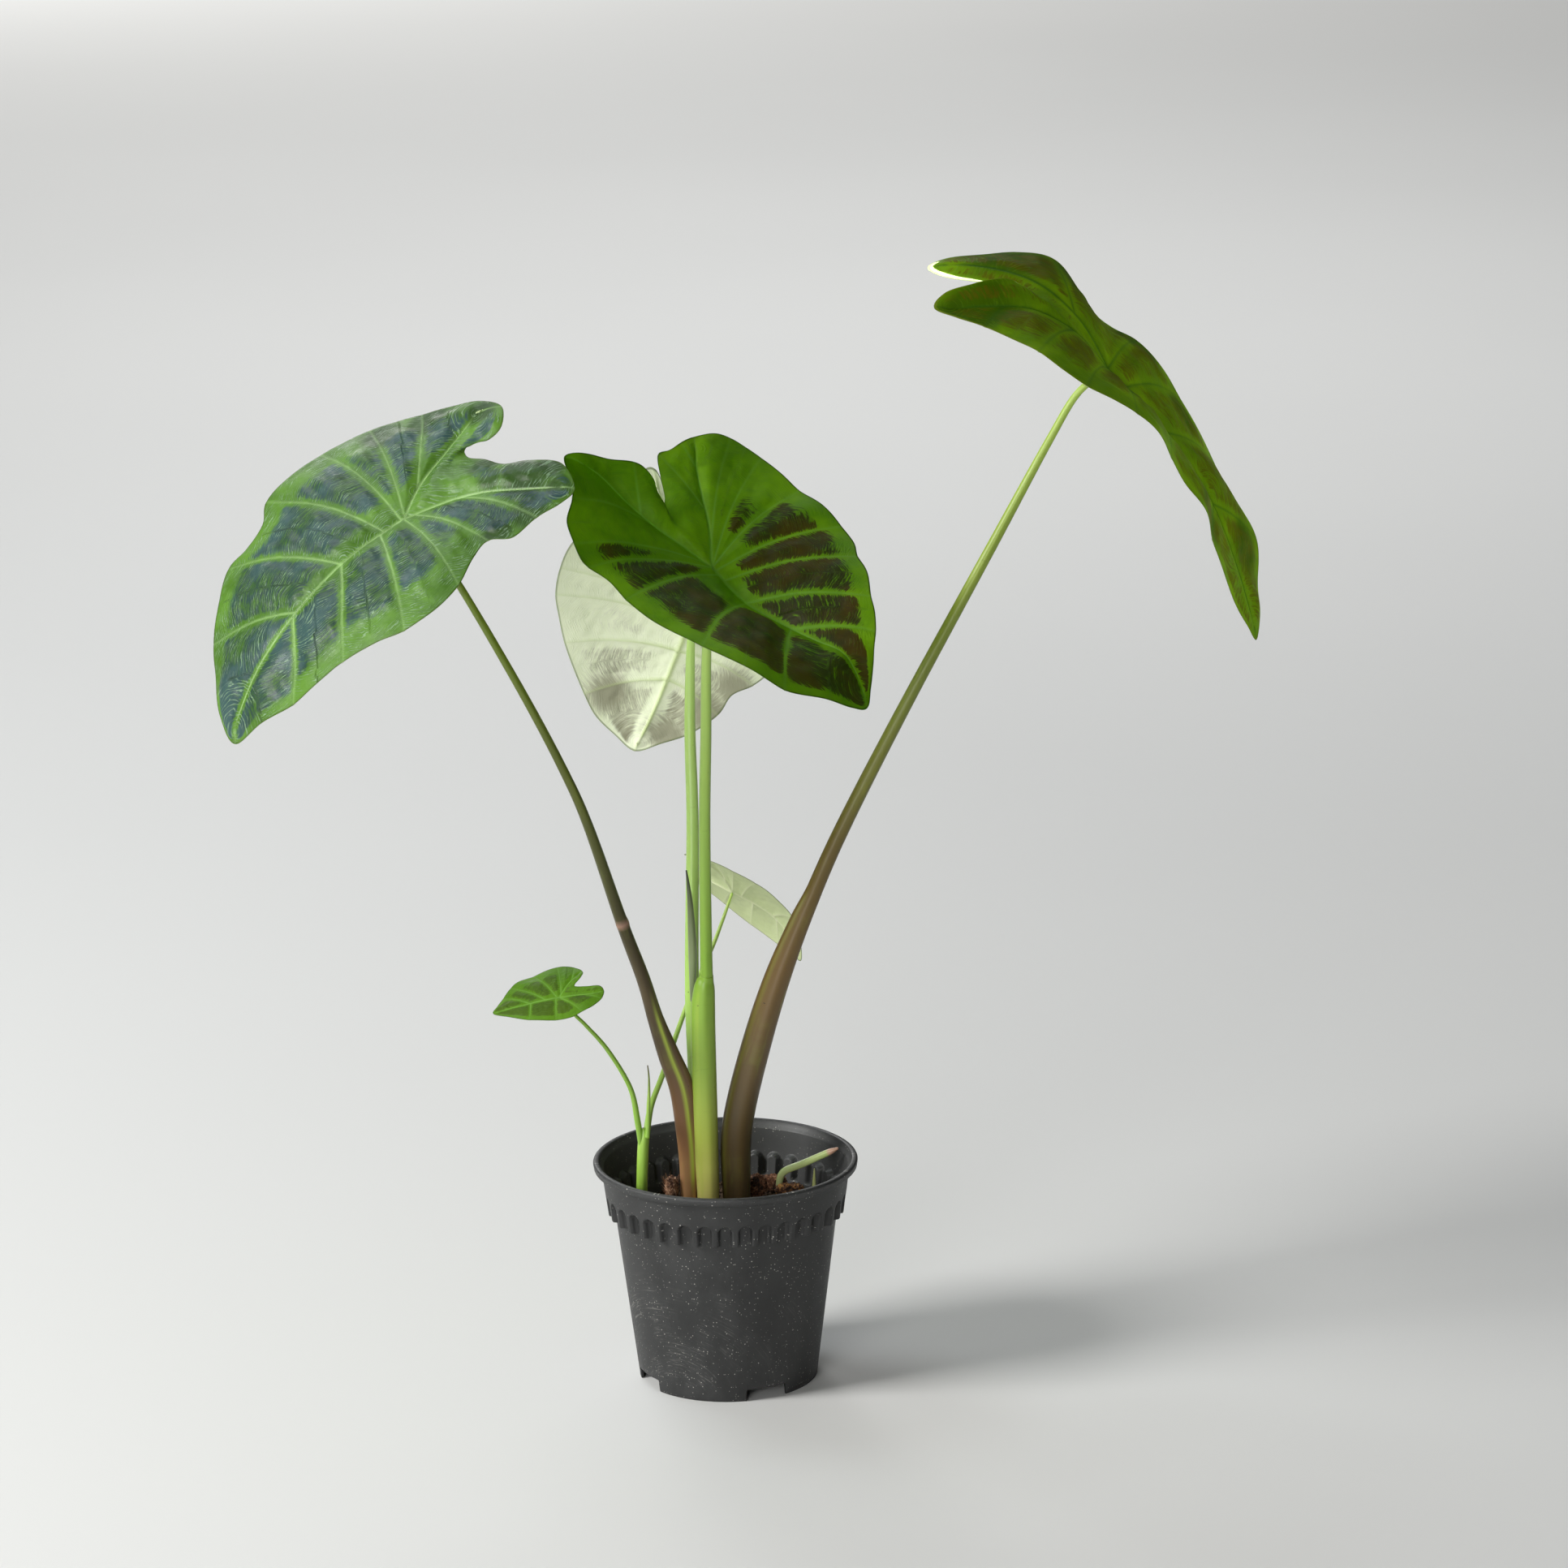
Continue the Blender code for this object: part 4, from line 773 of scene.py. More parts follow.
def stalk_finish(name, stops, settings):
    """A smooth leaf stalk: its own colours from foot to tip, fine long streaks and small specks."""
    f = Finish(name + "_skin")
    share, turn, along = f.value("share"), f.value("turn"), f.value("along")
    streak_place = f.joined(f.times(turn, 7.0), f.times(along, 0.02))
    streaks = f.noise(streak_place, 1.0, 4.0, 0.6)
    mottle = f.noise(f.joined(f.times(turn, 3.0), f.times(along, 0.12)), 1.0, 4.0, 0.7)
    shade = f.ramp(share, stops)
    pale = f.mix(0.5, shade, settings.margin)
    dark = f.mix(0.75, shade, settings.speck)
    shade = f.mix(f.spread(streaks, 0.5, 0.85, 0.0, 0.45), shade, pale)
    shade = f.mix(f.spread(mottle, 0.42, 0.15, 0.0, 0.5), shade, dark)
    specks = f.noise(f.joined(f.times(turn, 9.0), f.times(along, 0.55)), 1.0, 1.0)
    shade = f.mix(f.spread(specks, 0.77, 0.80, 0.0, 0.8), shade, settings.speck)
    shade = f.mix(f.value("line"), shade, settings.margin)
    shade = f.mix(f.value("scar"), shade, settings.scar)
    normal = f.bump(f.plus(streaks, f.times(mottle, 0.4)), 0.25, 0.0006)
    f.finish(shade, 0.36, normal, 0.5)
    f.shader.inputs["Subsurface Weight"].default_value = 0.12
    f.shader.inputs["Subsurface Radius"].default_value = (0.5, 0.8, 0.2)
    f.shader.inputs["Subsurface Scale"].default_value = 0.003
    return f.material


def leaf_fields(f):
    """The numbers a blade carries, and its feathering: fine streaks that leave the ribs at an angle."""
    fields = {key: f.value(key)
              for key in ("near", "vein", "feather", "edge", "blotch", "patch", "shade_spots", "pale")}
    across = f.times(fields["near"], 0.055)
    seeded = f.times(fields["patch"], 3.7)
    streak_place = f.joined(fields["feather"], f.times(across, 1.6), seeded)
    fields["streaks"] = f.noise(streak_place, 1.0, 4.0, 0.75)
    wander = f.noise(f.joined(f.times(fields["feather"], 0.22), across, seeded), 1.0, 3.0, 0.6)
    turns = f.plus(f.times(fields["feather"], 3.6), f.times(wander, 26.0))
    wave = f.math("SINE", turns)
    fade = f.spread(f.noise(f.place(), 95.0, 3.0), 0.36, 0.66)
    fields["lines"] = f.times(f.spread(wave, 0.35, 1.0), fade)
    fields["clouds"] = f.noise(f.place(), 26.0, 4.0, 0.6)
    fields["fine"] = f.noise(f.place(), 420.0, 2.0)
    return fields


def lit_through(f, shade, glow):
    """The colour of the light that comes through: the face's own, far brighter, blended with the glow."""
    return f.mix(LIT_GLOW, f.mix(1.0, shade, (LIT_GAIN, LIT_GAIN, LIT_GAIN), "MULTIPLY"), glow)


def upper_finish(name, palette, scale):
    """The upper face: pale ribs with green beside them, dark feathered blotches, a plain green edge."""
    f = Finish(name + "_upper")
    at = leaf_fields(f)
    green = f.mix(f.spread(at["clouds"], 0.35, 0.65), palette.green, palette.light_green)
    green = f.mix(f.spread(at["streaks"], 0.35, 0.8, 0.0, 0.5), green, palette.light_green)
    # Painted shade: the green is darkened in the dark spots.
    shade_spot_green = f.mix(1.0, green, SHADE_SPOT_GREEN, "MULTIPLY")
    green = f.mix(f.spread(at["shade_spots"], 0.2, 0.75), green, shade_spot_green)
    ragged = f.plus(at["blotch"], f.swing(at["streaks"], palette.ragged))
    ragged = f.plus(ragged, f.swing(at["clouds"], 2.2))
    ragged = f.times(ragged, f.spread(at["blotch"], 0.02, 0.3))
    dark_share = f.spread(ragged, 0.42, 0.42 + palette.softness)
    blotch = f.mix(f.spread(at["clouds"], 0.4, 0.62), palette.blotch, palette.blotch_tint)
    shade = f.mix(f.times(dark_share, palette.depth), green, blotch)
    shade = f.mix(f.times(at["lines"], palette.veinlets), shade, palette.veinlet)
    edge_line = f.spread(at["edge"], 1.3 * scale, 0.5 * scale)
    shade = f.mix(f.times(edge_line, 0.7), shade, palette.edge)
    shade = f.mix(f.times(at["vein"], palette.vein_strength), shade, palette.vein)
    # Painted light: the pale spots paint the underside's light colour as a bright strip along a fold of the
    # margin.
    painted_lit_fold = f.times(f.spread(at["pale"], 0.5, 0.62), f.spread(at["edge"], 3.4, 2.6))
    shade = f.mix(painted_lit_fold, shade, palette.under_light)
    height = f.plus(f.times(at["lines"], 0.6), f.times(at["fine"], 0.15))
    height = f.plus(height, f.times(f.noise(f.place(), 60.0 / scale, 3.0, 0.5), 1.5))
    normal = f.bump(height, 0.75, 0.0008 * scale)
    f.finish(shade, palette.roughness, normal, palette.gloss)
    f.let_light_through(lit_through(f, shade, palette.glow), palette.thinness)
    return f.material


def under_finish(name, palette, scale):
    """The underside: paler and duller, with raised light ribs and a soft tint between them."""
    f = Finish(name + "_under")
    at = leaf_fields(f)
    shade = f.mix(f.spread(at["streaks"], 0.3, 0.8, 0.0, 0.6), palette.under, palette.under_light)
    shade = f.mix(f.spread(at["clouds"], 0.45, 0.7, 0.0, 0.3), shade, palette.under_light)
    ragged = f.plus(at["blotch"], f.swing(at["streaks"], 1.3))
    ragged = f.plus(ragged, f.swing(at["clouds"], 1.2))
    tint = f.times(f.spread(ragged, 0.55, 1.25), palette.under_tint_strength)
    # Painted shade: the underside is tinted in the dark spots too, besides under the blotches.
    shade_spot_tint = f.plus(at["shade_spots"], f.swing(at["streaks"], 0.8))
    shade_spot_tint = f.times(f.spread(shade_spot_tint, 0.25, 0.9), palette.under_tint_strength ** 2)
    tint = f.math("MAXIMUM", tint, shade_spot_tint)
    shade = f.mix(tint, shade, palette.under_tint)
    edge_line = f.spread(at["edge"], 1.5 * scale, 0.5 * scale)
    shade = f.mix(f.times(edge_line, 0.7), shade, palette.edge)
    shade = f.mix(f.times(at["vein"], 0.85), shade, palette.under_vein)
    height = f.plus(f.times(at["lines"], 0.7), f.times(at["fine"], 0.15))
    f.finish(shade, 0.55, f.bump(height, 0.5, 0.0005 * scale), 0.35)
    f.let_light_through(f.mix(0.5, shade, palette.glow), palette.thinness)
    return f.material


# ================================================================ blades

def leaf_frame(leaf):
    """The leaf's origin and its three directions, as rows: ahead, left, up."""
    up = np.array(leaf["up"], float)
    up /= np.linalg.norm(up)
    ahead = np.array(leaf["ahead"], float)
    ahead -= up * ahead.dot(up)
    ahead /= np.linalg.norm(ahead)
    return np.array(leaf["navel"], float), np.array([ahead, np.cross(up, ahead), up])


def vein_knots(leaf):
    """Knots on the midrib and lobe veins, the three veins as lists of them, and the trip past them all."""
    knots = [np.zeros((1, 3))]
    veins = []
    count = 1
    for vein, number in (("midrib", MIDRIB_KNOTS), ("left_vein", LOBE_KNOTS), ("right_vein", LOBE_KNOTS)):
        path = smooth_curve(((0, 0, 0),) + leaf[vein], VEIN_SPAN)
        knots.append(even_points(path, number))
        veins.append([0] + list(range(count, count + number)))
        count += number
    midrib, left, right = veins
    trip = midrib[::-1] + left[1:] + left[-2::-1] + right[1:] + right[-2::-1] + midrib[1:-1]
    return np.vstack(knots), veins, np.array(trip)


def margin_columns(leaf, spacing):
    """Fine points along the margin with their places, and which one each given point became."""
    margin = np.array(leaf["margin"], float)
    count = len(margin)
    rows, places, starts = [], [], []
    total = 0
    for i in range(count):
        here, there = margin[i], margin[(i + 1) % count]
        number = max(2, int(round(np.linalg.norm(there[:3] - here[:3]) / spacing)))
        steps = (np.arange(number) / number)[:, None]
        rows.append(span_points(margin[i - 1, :3], here[:3], there[:3],
                                margin[(i + 2) % count, :3], steps))
        next_place = there[3] if i < count - 1 else 6.0
        places.append(here[3] + (next_place - here[3]) * steps[:, 0])
        starts.append(total)
        total += number
    return np.vstack(rows), np.concatenate(places), starts


def trip_spots(places):
    """Where places fall on the trip past the knots."""
    lengths = np.array([MIDRIB_KNOTS, LOBE_KNOTS, LOBE_KNOTS, LOBE_KNOTS, LOBE_KNOTS, MIDRIB_KNOTS])
    begins = np.concatenate([[0], np.cumsum(lengths)[:-1]])
    whole = np.minimum(places.astype(int), 5)
    return np.round(begins[whole] + (places - whole) * lengths[whole]).astype(int)


def blade_sheet(leaf, build):
    """The blade's middle sheet in leaf space: its points, faces, rim and the grid of its columns."""
    knots, veins, trip = vein_knots(leaf)
    edges, places, starts = margin_columns(leaf, build["spacing"])
    spots = trip_spots(places)
    roots = trip[spots % len(trip)]
    share = (np.arange(build["rows"] + 1) / build["rows"])[None, :, None]
    start, run = knots[roots][:, None, :], (edges - knots[roots])[:, None, :]
    width = np.linalg.norm(run, axis=2, keepdims=True)
    heading = run / np.maximum(width, 1e-6)
    back = np.array([-1.0, 0.0, 0.0]) - heading * (heading @ np.array([-1.0, 0.0, 0.0]))[..., None]
    crown = np.array([0.0, 0.0, CROWNING]) * width * np.sin(math.pi * share)
    grid = start + run * share + crown + back * width * RIB_BOW * np.sin(math.pi * share)
    columns, rows = grid.shape[0], build["rows"]
    index = len(knots) + np.arange(columns * rows).reshape(columns, rows)
    points = np.vstack([knots, grid[:, 1:].reshape(-1, 3)])
    faces = []
    for c in range(columns):
        n = (c + 1) % columns
        last = spots[n] + (len(trip) if spots[n] < spots[c] else 0)
        fan = [int(trip[i % len(trip)]) for i in range(spots[c], last + 1)]
        fan += [int(index[n, 0]), int(index[c, 0])]
        faces += [(fan[i + 1], fan[i], fan[-1]) for i in range(len(fan) - 2)]
        lower, upper = index[c], index[n]
        faces += [(int(lower[r]), int(lower[r + 1]), int(upper[r + 1]), int(upper[r]))
                  for r in range(rows - 1)]
    points = relaxed(points, faces, index[:, -1])
    grid = np.concatenate([points[roots][:, None], points[index]], axis=1)
    return points, faces, index, grid, veins, starts


def relaxed(points, faces, held):
    """The sheet with every point drawn towards its neighbours, except along its rim."""
    sides = [(a, b) for face in faces for a, b in zip(face, face[1:] + face[:1])]
    sides = np.unique(np.sort(np.array(sides), axis=1), axis=0)
    first, second = np.concatenate([sides, sides[:, ::-1]]).T
    neighbours = np.bincount(first, minlength=len(points))
    free = np.ones(len(points), bool)
    free[held] = False
    for _ in range(SMOOTHING_PASSES):
        means = np.column_stack([
            np.bincount(first, points[second, axis], len(points)) / neighbours for axis in range(3)])
        points = np.where(free[:, None], points + SMOOTHING_PULL * (means - points), points)
    return points


def sheet_normals(points, faces):
    """The sheet's normals, averaged at each point."""
    corners = np.array([face if len(face) == 4 else (*face, face[2]) for face in faces])
    across = points[corners[:, 2]] - points[corners[:, 0]]
    other = points[corners[:, 3]] - points[corners[:, 1]]
    triangle = corners[:, 3] == corners[:, 2]
    other[triangle] = (points[corners[:, 2]] - points[corners[:, 1]])[triangle]
    facing = np.cross(across, other)
    normals = np.zeros_like(points)
    for k in range(4):
        np.add.at(normals, corners[:, k], facing)
    return normals / np.maximum(np.linalg.norm(normals, axis=1, keepdims=True), 1e-9)


def patch_bounds(leaf, starts):
    """The columns that bound the fields between ribs, in the margin's order."""
    ends = [i for i, point in enumerate(leaf["margin"]) if point[3] in (2, 4)]
    marks = sorted(set(leaf["ribs"]) | {0} | set(ends))
    return [starts[i] for i in marks]


def spot_share(points, spots):
    """1 in the middle of a spot, falling to 0 around it."""
    share = np.zeros(len(points))
    for along, across, radius in spots:
        away = np.hypot(points[:, 0] - along, points[:, 1] - across)
        share = np.maximum(share, np.exp(-(away / radius) ** 2))
    return share


def blade_values(leaf, build, points, index, grid, veins):
    """What each point of the sheet knows: its veins, feathering, edge and blotch."""
    knot_count = index[0, 0]
    columns, rows = index.shape
    reach = np.zeros(len(points))
    reach[knot_count:] = np.tile(np.arange(1, rows + 1) / rows, columns)
    width = np.linalg.norm(grid[:, -1] - grid[:, 0], axis=1)
    edge = np.full(len(points), FAR_AWAY)
    edge[knot_count:] = ((1 - np.arange(1, rows + 1) / rows)[None] * width[:, None]).reshape(-1)
    main = np.full(len(points), np.inf)
    for vein in veins:
        main = np.minimum(main, distance_to_line(points, points[vein]))
    bounds = patch_bounds(leaf, build["starts"])
    rib = np.full(len(points), FAR_AWAY)
    feather, patch, blotch = (np.zeros(len(points)) for _ in range(3))
    for k, low in enumerate(bounds):
        high = bounds[(k + 1) % len(bounds)]
        inside = (np.arange(low, high + (columns if high <= low else 0)) % columns)
        chosen = index[inside].reshape(-1)
        spots = points[chosen]
        first = distance_to_line(spots, grid[low])
        second = distance_to_line(spots, grid[high])
        rib[chosen] = np.minimum(first, second)
        origin = np.where((first < second)[:, None], grid[low][0], grid[high][0])
        away = np.linalg.norm(spots - origin, axis=1)
        feather[chosen] = away - FEATHER_SLANT * rib[chosen]
        patch[chosen] = k
        strength, start, end = leaf["blotches"][k]
        window = smooth_step(reach[chosen], start - BLOTCH_START, start + BLOTCH_START)
        window *= 1 - smooth_step(reach[chosen], end - BLOTCH_END, end + BLOTCH_END)
        near = np.minimum(rib[chosen], main[chosen])
        blotch[chosen] = strength * window * np.clip(near / build["halo"], 0, 1)
    rib_height, rib_width = build["rib"]
    main_height, main_width = build["main"]
    taper = 1 - RIB_TAPER * np.clip(reach, 0, 1)
    from_navel = np.linalg.norm(points, axis=1)
    midrib_length = from_navel[veins[0][-1]]
    main_taper = 1 - MIDRIB_TAPER * np.clip(from_navel / midrib_length, 0, 1)
    rib_width = rib_width * (RIB_TIP_WIDTH + (1 - RIB_TIP_WIDTH) * taper)
    rib_ridge = np.exp(-(rib / rib_width) ** 2) * taper
    main_ridge = np.exp(-(main / (main_width * main_taper)) ** 2)
    for vein in veins:
        to_end = np.linalg.norm(points - points[vein[-1]], axis=1)
        main_ridge *= smooth_step(to_end, 0.0, VEIN_FADE * midrib_length)
    return {
        "near": np.minimum(rib, main), "edge": edge, "feather": feather, "patch": patch, "reach": reach,
        # The dark spots carry painted shade; the pale spots a painted lit fold.
        "shade_spots": spot_share(points, leaf.get("shade_spots", ())), "pale": spot_share(points, leaf.get("pale", ())),
        "blotch": blotch, "vein": np.clip(np.maximum(rib_ridge * RIB_CLARITY, main_ridge), 0, 1),
        "rib_ridge": rib_ridge * rib_height, "main_ridge": main_ridge * main_height * main_taper,
    }


def blade_shell(leaf, build):
    """The closed blade: its points in the pot's space, its faces, which are underside, and its values."""
    points, faces, index, grid, veins, build["starts"] = blade_sheet(leaf, build)
    values = blade_values(leaf, build, points, index, grid, veins)
    normals = sheet_normals(points, faces)
    size = np.abs(points[:, 0]).max()
    near, reach = values["near"], values.pop("reach")
    puff = build["puff"] * (1 - np.exp(-(near / (PUFF_START * size)) ** 2))
    puff = puff * (1 - PUFF_EDGE_LOSS * reach ** 3)
    waves = ripples(points, build["seed"], size * WAVE_LENGTH) * build["wave"] * smooth_step(reach, 0.1, 0.9)
    creases = ripples(points, build["seed"] + 50, size * CREASE_LENGTH, CREASE_COUNT) * build["lumps"]
    creases += ripples(points, build["seed"] + 80, size * LUMP_LENGTH) * build["lumps"]
    creases *= smooth_step(near, 0.01 * size, 0.05 * size) * (1 - smooth_step(reach, 0.75, 1.0))
    lift = puff + waves + creases - RIB_SINK * values["rib_ridge"] - RIB_SINK * values["main_ridge"]
    ridge = values.pop("rib_ridge") + values.pop("main_ridge")
    half = BLADE_THICKNESS / 2 * (1 - EDGE_THINNING * reach ** 2)
    upper = points + normals * (half + lift)[:, None]
    under = points + normals * (lift - half - ridge)[:, None]
    count = len(points)
    rim = [int(i) for i in index[:, -1]]
    shell = list(faces) + [tuple(i + count for i in reversed(face)) for face in faces]
    shell += [(b, a, a + count, b + count) for a, b in zip(rim, rim[1:] + rim[:1])]
    sides = [0] * len(faces) + [1] * (len(shell) - len(faces))
    origin, turned = leaf_frame(leaf)
    placed = origin + np.vstack([upper, under]) @ turned
    return placed, shell, sides, {key: np.tile(number, 2) for key, number in values.items()}


def build_blade(key, palettes):
    """One blade as a finished piece."""
    leaf, build, palette = LEAVES[key], dict(LEAF_BUILD[key]), getattr(palettes, key)
    points, faces, sides, values = blade_shell(leaf, build)
    scale = SMALL_LEAF_SCALE if key.startswith("small") else 1.0
    finishes = [upper_finish("blade_" + key, palette, scale), under_finish("blade_" + key, palette, scale)]
    piece = make_piece("leaf_blade_" + key, points, faces, finishes, sides, values)
    settle(piece, "blade_" + key)


# ================================================================ stalks

def sheath_reach(sheath, heights):
    """How far a sheath's wing stands out at each height."""
    grow = smooth_step(heights, sheath["top"], sheath["full"])
    fade = smooth_step(heights, sheath["bottom"], sheath["bottom"] + SHEATH_FADE)
    return sheath["reach"] * grow * fade


def stalk_shape(node, sides):
    """A stalk's tube in the pot's space, with what each of its points knows."""
    path = smooth_curve(STALKS[node], STALK_SPAN)
    centres, radii = path[:, :3], np.maximum(path[:, 3], THINNEST_STALK)
    depths = path[:, 4] if path.shape[1] > 4 else np.ones(len(path))
    heading = np.gradient(centres, axis=0)
    heading /= np.linalg.norm(heading, axis=1, keepdims=True)
    travelled = np.concatenate([[0], np.cumsum(np.linalg.norm(np.diff(centres, axis=0), axis=1))])
    turns = 2 * math.pi * np.arange(sides) / sides
    sheath = SHEATHS.get(node)
    rings, line, scar = [], [], []
    side = np.array([1.0, 0.0, 0.0])
    for i, centre in enumerate(centres):
        side = side - heading[i] * side.dot(heading[i])
        side /= np.linalg.norm(side)
        other = np.cross(heading[i], side)
        radius = radii[i] * (1 + STALK_WOBBLE * np.sin(5 * turns + 0.02 * travelled[i]))
        marked = np.zeros(sides)
        if sheath is not None:
            off = np.angle(np.exp(1j * (turns - math.radians(sheath["angle"]))))
            reach = sheath_reach(sheath, centre[2])
            radius = radius + reach * np.exp(-(off / SHEATH_SPREAD) ** 2)
            from_line = np.angle(np.exp(1j * (turns - math.radians(sheath["line"])))) * radii[i]
            present = min(1.0, reach / (0.35 * sheath["reach"])) * sheath["bright"]
            marked = np.exp(-(from_line / LINE_HALF_WIDTH) ** 2) * present
            radius = radius + LINE_RIDGE * marked
        scarred = np.zeros(sides)
        if node == "stalk_left":
            ring = math.exp(-((centre[2] - SCAR_HEIGHT) / SCAR_HALF_HEIGHT) ** 2)
            radius = radius + ring * (SCAR_SWELL + SCAR_UNEVENNESS * np.sin(3 * turns + 1.0))
            scarred += ring
        outward = side * np.cos(turns)[:, None] + depths[i] * other * np.sin(turns)[:, None]
        rings.append(centre + outward * radius[:, None])
        line.append(marked)
        scar.append(scarred)
    values = {
        "share": np.repeat(travelled / travelled[-1], sides), "along": np.repeat(travelled, sides),
        "turn": np.tile(1 + np.cos(turns) * 0.5 + np.sin(2 * turns) * 0.25, len(centres)),
        "line": np.concatenate(line), "scar": np.clip(np.concatenate(scar), 0, 1),
    }
    return np.vstack(rings), tube_faces(len(centres), sides), values


def build_stalk(node, settings):
    """One stalk as a finished piece."""
    points, faces, values = stalk_shape(node, STALK_SIDES)
    finish = stalk_finish(node, STALK_COLOURS[node], settings)
    settle(make_piece("plant_" + node, points, faces, [finish], None, values), node)


# ================================================================ pot

def flute_share(angles, height, count):
    """1 inside a flute, 0 on the ribs between, with a rounded arch on top."""
    pitch = 2 * math.pi / count
    off = (angles + pitch / 2) % pitch - pitch / 2
    sideways = np.abs(off) * BELT_RADIUS
    above = max(height - FLUTE_SHOULDER, 0.0) * FLUTE_HALF_WIDTH / FLUTE_ARCH
    depth = FLUTE_HALF_WIDTH - np.hypot(sideways, above)
    return smooth_step(depth, *FLUTE_EDGE)


def outer_radius(angles, height, count):
    """The outside of the wall at a height, all round."""
    lower = BASE_RADIUS + LOWER_SLOPE * height
    belt = BELT_RADIUS + UPPER_SLOPE * (height - BELT_BOTTOM)
    step = smooth_step(height, BELT_BOTTOM, BELT_BOTTOM + BELT_STEP)
    return lower + (belt - lower) * step * (1 - flute_share(angles, height, count))


def pot_rings(angles, count):
    """The pot's rings, from under its floor out, up, over the lip and down inside: (radii, heights)."""
    flat = np.ones(len(angles))
    pitch = 2 * math.pi / NOTCH_COUNT
    away = np.abs((angles - NOTCH_CENTRE + pitch / 2) % pitch - pitch / 2)
    notched = away < NOTCH_HALF_ANGLE
    inner_foot = BASE_RADIUS - WALL
    rings = [(flat * (inner_foot + LOWER_SLOPE * FLOOR_UNDERSIDE), flat * FLOOR_UNDERSIDE)]

    def foot(radius, height):
        rings.append((flat * radius, np.where(notched, np.maximum(height, NOTCH_HEIGHT), height)))

    foot(inner_foot, FOOT_ROUND)
    foot(inner_foot + FOOT_ROUND, 0.0)
    foot(BASE_RADIUS - FOOT_ROUND, 0.0)
    for height in (0.3, 2.5, 5.0, 7.5):
        foot(BASE_RADIUS + LOWER_SLOPE * height, height)
    lip_low = RIM_HEIGHT - LIP_DEPTH
    heights = np.concatenate([
        np.linspace(NOTCH_HEIGHT + 0.2, PLAIN_BELOW, 22), np.arange(*FLUTE_ROWS, 0.5),
        np.linspace(PLAIN_ABOVE, lip_low, 4)])
    for height in heights:
        rings.append((outer_radius(angles, height, count), flat * height))
    centre_r, centre_z = RIM_RADIUS - LIP_ROUND, RIM_HEIGHT - LIP_ROUND
    rings.append((flat * (RIM_RADIUS - 1.6), flat * (lip_low + 0.1)))
    rings.append((flat * (RIM_RADIUS - 0.5), flat * (lip_low + 0.7)))
    for turn in np.linspace(-25, 90, 9):
        rings.append((flat * (centre_r + LIP_ROUND * math.cos(math.radians(turn))),
                      flat * (centre_z + LIP_ROUND * math.sin(math.radians(turn)))))
    inside = BELT_RADIUS + UPPER_SLOPE * (lip_low - BELT_BOTTOM) - WALL
    for step_out, step_down in LIP_FLARE:
        rings.append((flat * (inside + step_out), flat * (RIM_HEIGHT - step_down)))
    for height in np.concatenate([np.linspace(lip_low, PLAIN_ABOVE, 3), np.arange(*FLUTE_ROWS[::-1], -0.7)]):
        rings.append((outer_radius(angles, height - INSIDE_FLUTE_DROP, count) - WALL, flat * height))
    for height in INSIDE_HEIGHTS:
        rings.append((flat * (BASE_RADIUS + LOWER_SLOPE * height - WALL), flat * height))
    return rings


def build_pot(settings):
    """The fluted pot as one closed piece."""
    columns = settings.flutes * COLUMNS_PER_FLUTE
    angles = 2 * math.pi * np.arange(columns) / columns
    rings = pot_rings(angles, settings.flutes)
    points, around, height, lip, lit_inside = [], [], [], [], []
    top = int(np.argmax([heights[0] for _, heights in rings]))
    centred = np.angle(np.exp(1j * angles))
    for i, (radii, heights) in enumerate(rings):
        # Rings inside the pot take painted light in its finish.
        lit_inside.append(np.full(columns, float(i > top + len(LIP_FLARE) - 3)))
        points.append(np.column_stack([radii * np.sin(angles), -radii * np.cos(angles), heights]))
        around.append(centred * UNROLL_RADIUS)
        height.append(heights)
        lip.append(smooth_step(heights, RIM_HEIGHT - LIP_MARK[0], RIM_HEIGHT - LIP_MARK[1]))
    points.append(np.array([[0, 0, FLOOR_UNDERSIDE], [0, 0, FLOOR_TOP]], float))
    values = {"around": np.concatenate(around + [[0, 0]]), "lip": np.concatenate(lip + [[0, 0]]),
              "lit_inside": np.concatenate(lit_inside + [[0, 1]]),
              "height": np.concatenate(height + [[FLOOR_UNDERSIDE, FLOOR_TOP]])}
    piece = make_piece("fluted_pot", np.vstack(points), capped_faces(len(rings), columns),
                       [plastic_finish(settings)], None, values)
    settle(piece, "nursery_pot")


# ================================================================ soil, crown, bark and husk

def disc_points(profile, rings, sides):
    """Points of a disc that follows a profile; its middle lies over the stalks."""
    radii = np.linspace(0, profile[-1][0], rings + 1)[1:]
    heights = np.interp(radii, *np.array(profile, float).T)
    points = []
    for radius, height in zip(radii, heights):
        share = smooth_step(radius, CENTRED_WITHIN, profile[-1][0])
        centre = STALK_CENTRE * (1 - share)
        turns = 2 * math.pi * np.arange(sides) / sides
        points.append(np.column_stack([centre[0] + radius * np.cos(turns),
                                       centre[1] + radius * np.sin(turns), np.full(sides, height)]))
    return np.vstack(points)


